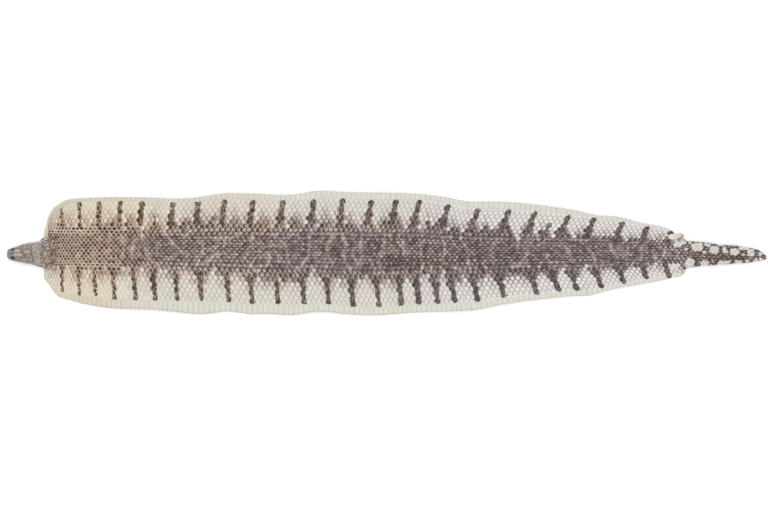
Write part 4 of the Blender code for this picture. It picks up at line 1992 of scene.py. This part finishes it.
@dataclass(frozen=True)
class HeadFinish:
    """Dull grey brown shields with dark seams, and brown folded skin behind them, with painted shade in its
    crease and wrinkle troughs and painted highlight on the wrinkle ridges.
    """

    grey: Colour = srgb(164, 160, 152)
    brown: Colour = srgb(162, 141, 130)
    # Also painted on the wrinkles' ridges as highlight
    pale: Colour = srgb(192, 184, 175)
    # Dark of the shields' seams, also painted into the crease behind the crown as its shade
    dark: Colour = srgb(82, 72, 62)
    # Also painted into the wrinkles' troughs as shade
    fold: Colour = srgb(112, 97, 84)
    smooth_skin: Colour = srgb(163, 151, 142)

    def material(self) -> bpy.types.Material:
        """Make the material.

        Returns:
            The finished material.
        """
        g = Graph("head_shields")
        wrinkles, luck = g.attribute("radius"), g.attribute("luck")
        mottle = g.noise(600.0, 3.0)
        colour = g.blend(g.attribute("warm"), self.grey, self.brown)
        bright = (mottle * 1.6 + luck * 0.5).step(0.8, 1.5) * (0.85 - g.attribute("warm") * 0.5)
        colour = g.blend(bright, colour, self.pale)
        colour = g.blend((mottle - luck * 0.6).step(0.1, 0.6) * 0.45, colour, self.fold)
        # Painted shade and highlight on the neck's wrinkles, taken from their heights with some mottle:
        # troughs darker, ridges paler
        painted_trough_shade = (wrinkles * -1.6 + mottle - 0.3).step(0.0, 0.5)
        colour = g.blend(g.attribute("smear") * painted_trough_shade, colour, self.fold)
        colour = g.blend(g.attribute("smear") * (wrinkles + mottle - 0.5).step(0.25, 0.6), colour, self.pale)
        streaks = (g.noise(420.0, 3.0, (1.0, 0.6, 1.0)) - 0.42) * 2.2
        streaked = g.blend(streaks, self.smooth_skin, self.fold, "MULTIPLY")
        colour = g.blend(g.attribute("light") * 0.8, colour, streaked)
        # Dark seams between the shields, and painted shade in the crease behind the crown
        colour = g.blend(g.attribute("groove").step(0.1, 1.0) * 0.78, colour, self.dark)
        return g.set(
            Base_Color=colour, Roughness=0.55 + (mottle - 0.5) * 0.2, Specular_IOR_Level=0.4,
            Normal=g.bump(g.noise(2200.0, 2.0), 0.3, 0.0002),
        )


@dataclass(frozen=True)
class TornFinish:
    """Thin torn skin of one shade with darker stains."""

    name: str
    shade: Colour

    def material(self) -> bpy.types.Material:
        """Make the material.

        Returns:
            The finished material.
        """
        g = Graph(self.name)
        stains = g.noise(420.0, 3.0)
        stained = tuple(0.66 * part for part in self.shade)
        colour = g.blend(stains.step(0.45, 0.75) * 0.7, self.shade, stained, "MULTIPLY")
        return g.set(
            Base_Color=colour, Roughness=0.6 + (stains - 0.5) * 0.3, Specular_IOR_Level=0.3,
            Normal=g.bump(g.noise(1500.0, 2.0), 0.3, 0.0002),
        )


@dataclass(frozen=True)
class EyeFinish:
    """Dark sunken eye, darkened further with the painted shade of its socket."""

    # Near black: the eye's own dark colour with the shade of its socket painted in
    colour: Colour = srgb(22, 19, 18)

    def material(self) -> bpy.types.Material:
        """Make the material."""
        return Graph("dark_eye").set(Base_Color=self.colour, Roughness=0.35, Specular_IOR_Level=0.2)


# Studio


@dataclass(frozen=True)
class Studio:
    """Camera straight above the skin, soft light from all round and a plain pale floor."""

    lens: float = 85.0
    sensor: float = 36.0
    frame_width: float = 0.768
    aim: Point2 = (-0.003, -0.0035)
    world_strength: float = 1.16
    key_strength: float = 1.3
    key_size: Point2 = (1.2, 0.6)
    key_spot: tuple[float, float, float] = (-0.15, 0.75, 0.9)
    floor_reach: float = 3.0

    def build(self) -> None:
        """Add the floor, the camera, the light and the world."""
        scene = bpy.context.scene
        self.add_floor()
        camera_data = bpy.data.cameras.new("camera")
        camera_data.lens = self.lens
        camera_data.sensor_width = self.sensor
        camera = bpy.data.objects.new("camera", camera_data)
        camera.location = (*self.aim, self.frame_width * self.lens / self.sensor)
        scene.collection.objects.link(camera)
        scene.camera = camera
        world = bpy.data.worlds.new("soft_room")
        world.use_nodes = True
        background = world.node_tree.nodes["Background"]
        background.inputs["Color"].default_value = (1.0, 1.0, 1.0, 1.0)
        background.inputs["Strength"].default_value = self.world_strength
        scene.world = world
        light_data = bpy.data.lights.new("softbox", "AREA")
        light_data.shape = "RECTANGLE"
        light_data.size, light_data.size_y = self.key_size
        light_data.energy = self.key_strength
        light = bpy.data.objects.new("softbox", light_data)
        light.location = self.key_spot
        light.rotation_euler = (-light.location).to_track_quat("-Z", "Y").to_euler()
        scene.collection.objects.link(light)
        scene.view_settings.view_transform = "Standard"

    def add_floor(self) -> None:
        """Lay the plain pale ground under the skin."""
        floor = Sheet.grid(1, 1, reach=self.floor_reach).piece("floor")
        white = (0.96, 0.96, 0.96)
        paper = Graph("white_paper").set(Base_Color=white, Roughness=0.9, Specular_IOR_Level=0.0)
        floor.data.materials.append(paper)


def hide_rows() -> Rows:
    """Return the rows of scales on the hide.

    Returns:
        The rows, from under the neck to the root of the tail.
    """
    pitch = Curve(
        (36, 2.6), (50, 2.9), (60, 3.3), (70, 4), (84, 4.5), (105, 4.7), (135, 4.5),
        (160, 4.95), (200, 5.35), (240, 5.35), (280, 5), (330, 5), (370, 4.8),
        (405, 4.6), (445, 4.9), (485, 5.3), (530, 5.3), (570, 5.2), (610, 4.9),
        (650, 4.4), (690, 4.3),
    )
    each_side = ((34.0, 13.6), (430.0, 13.6), (605.0, 12.2), (640.0, 9.3), (662.0, 7.4), (690.0, 4.9))
    return Rows(pitch, first=34.0, last=681.0, each_side=each_side)


def tail_rows() -> Rows:
    """Return the rows of scales round the tail.

    Returns:
        The rows, from under the hide to the tip.
    """
    pitch = Curve((674.0, 4.5), (700.0, 4.6), (730.0, 5.6), (760.0, 6.4))
    each_side = ((676.5, 12.0), (700.0, 9.5), (730.0, 7.0), (750.0, 4.6), (758.6, 2.6))
    return Rows(pitch, first=676.5, last=758.6, each_side=each_side)


def scraps() -> tuple[Flap, ...]:
    """Return the torn scraps of skin at the root of the tail and at the neck.

    Returns:
        The scraps.
    """
    return (
        Flap(
            "torn_flap_right",
            low=Curve(
                (660.2, 16), (662.5, 13.3), (666, 13.2), (669.5, 13.9), (672.7, 15.5), (676.2, 17.2),
            ),
            high=Curve((660.2, 16.6), (662.0, 18.3), (666.5, 18.4), (672.0, 19.2), (676.2, 17.7)),
            shade=srgb(230, 223, 208),
        ),
        Flap(
            "torn_flap_left",
            low=Curve((664.0, -24.6), (667.0, -24.4), (670.0, -24.5), (673.0, -22.8), (674.4, -20.6)),
            high=Curve((664.0, -20.5), (667.0, -18.2), (670.0, -20.0), (673.0, -19.6), (674.4, -20.1)),
            shade=srgb(228, 222, 210), rise=0.5,
        ),
        Flap(
            "neck_tag",
            low=Curve((33.6, 11.3), (36.6, 12.6)), high=Curve((33.6, 11.8), (35.0, 13.6), (36.9, 15.2)),
            shade=srgb(92, 88, 82), rise=0.2, along=10, across=6,
        ),
    )


def main() -> None:
    """Build every piece of the skin and dress it."""
    Studio().build()
    hide = Hide(hide_rows())
    parts = (
        hide, BellyPlates(hide, Side.RIGHT), BellyPlates(hide, Side.LEFT), Tail(tail_rows()), Head(),
        *scraps(),
        Eye(Side.RIGHT, spot=(6.7, 3.3), turn=math.radians(8.0), length=3.2, width=1.7),
        Eye(Side.LEFT, spot=(6.0, -5.2), turn=math.radians(-32.0), length=3.8, width=2.5),
    )
    made = []
    for part in parts:
        piece = part.build()
        part.dress(piece)
        made.append(piece)
    hide.declare(made[0], [piece for piece in made if piece.name.startswith(("belly_plates", "torn_flap"))])


if __name__ == "__main__":
    main()
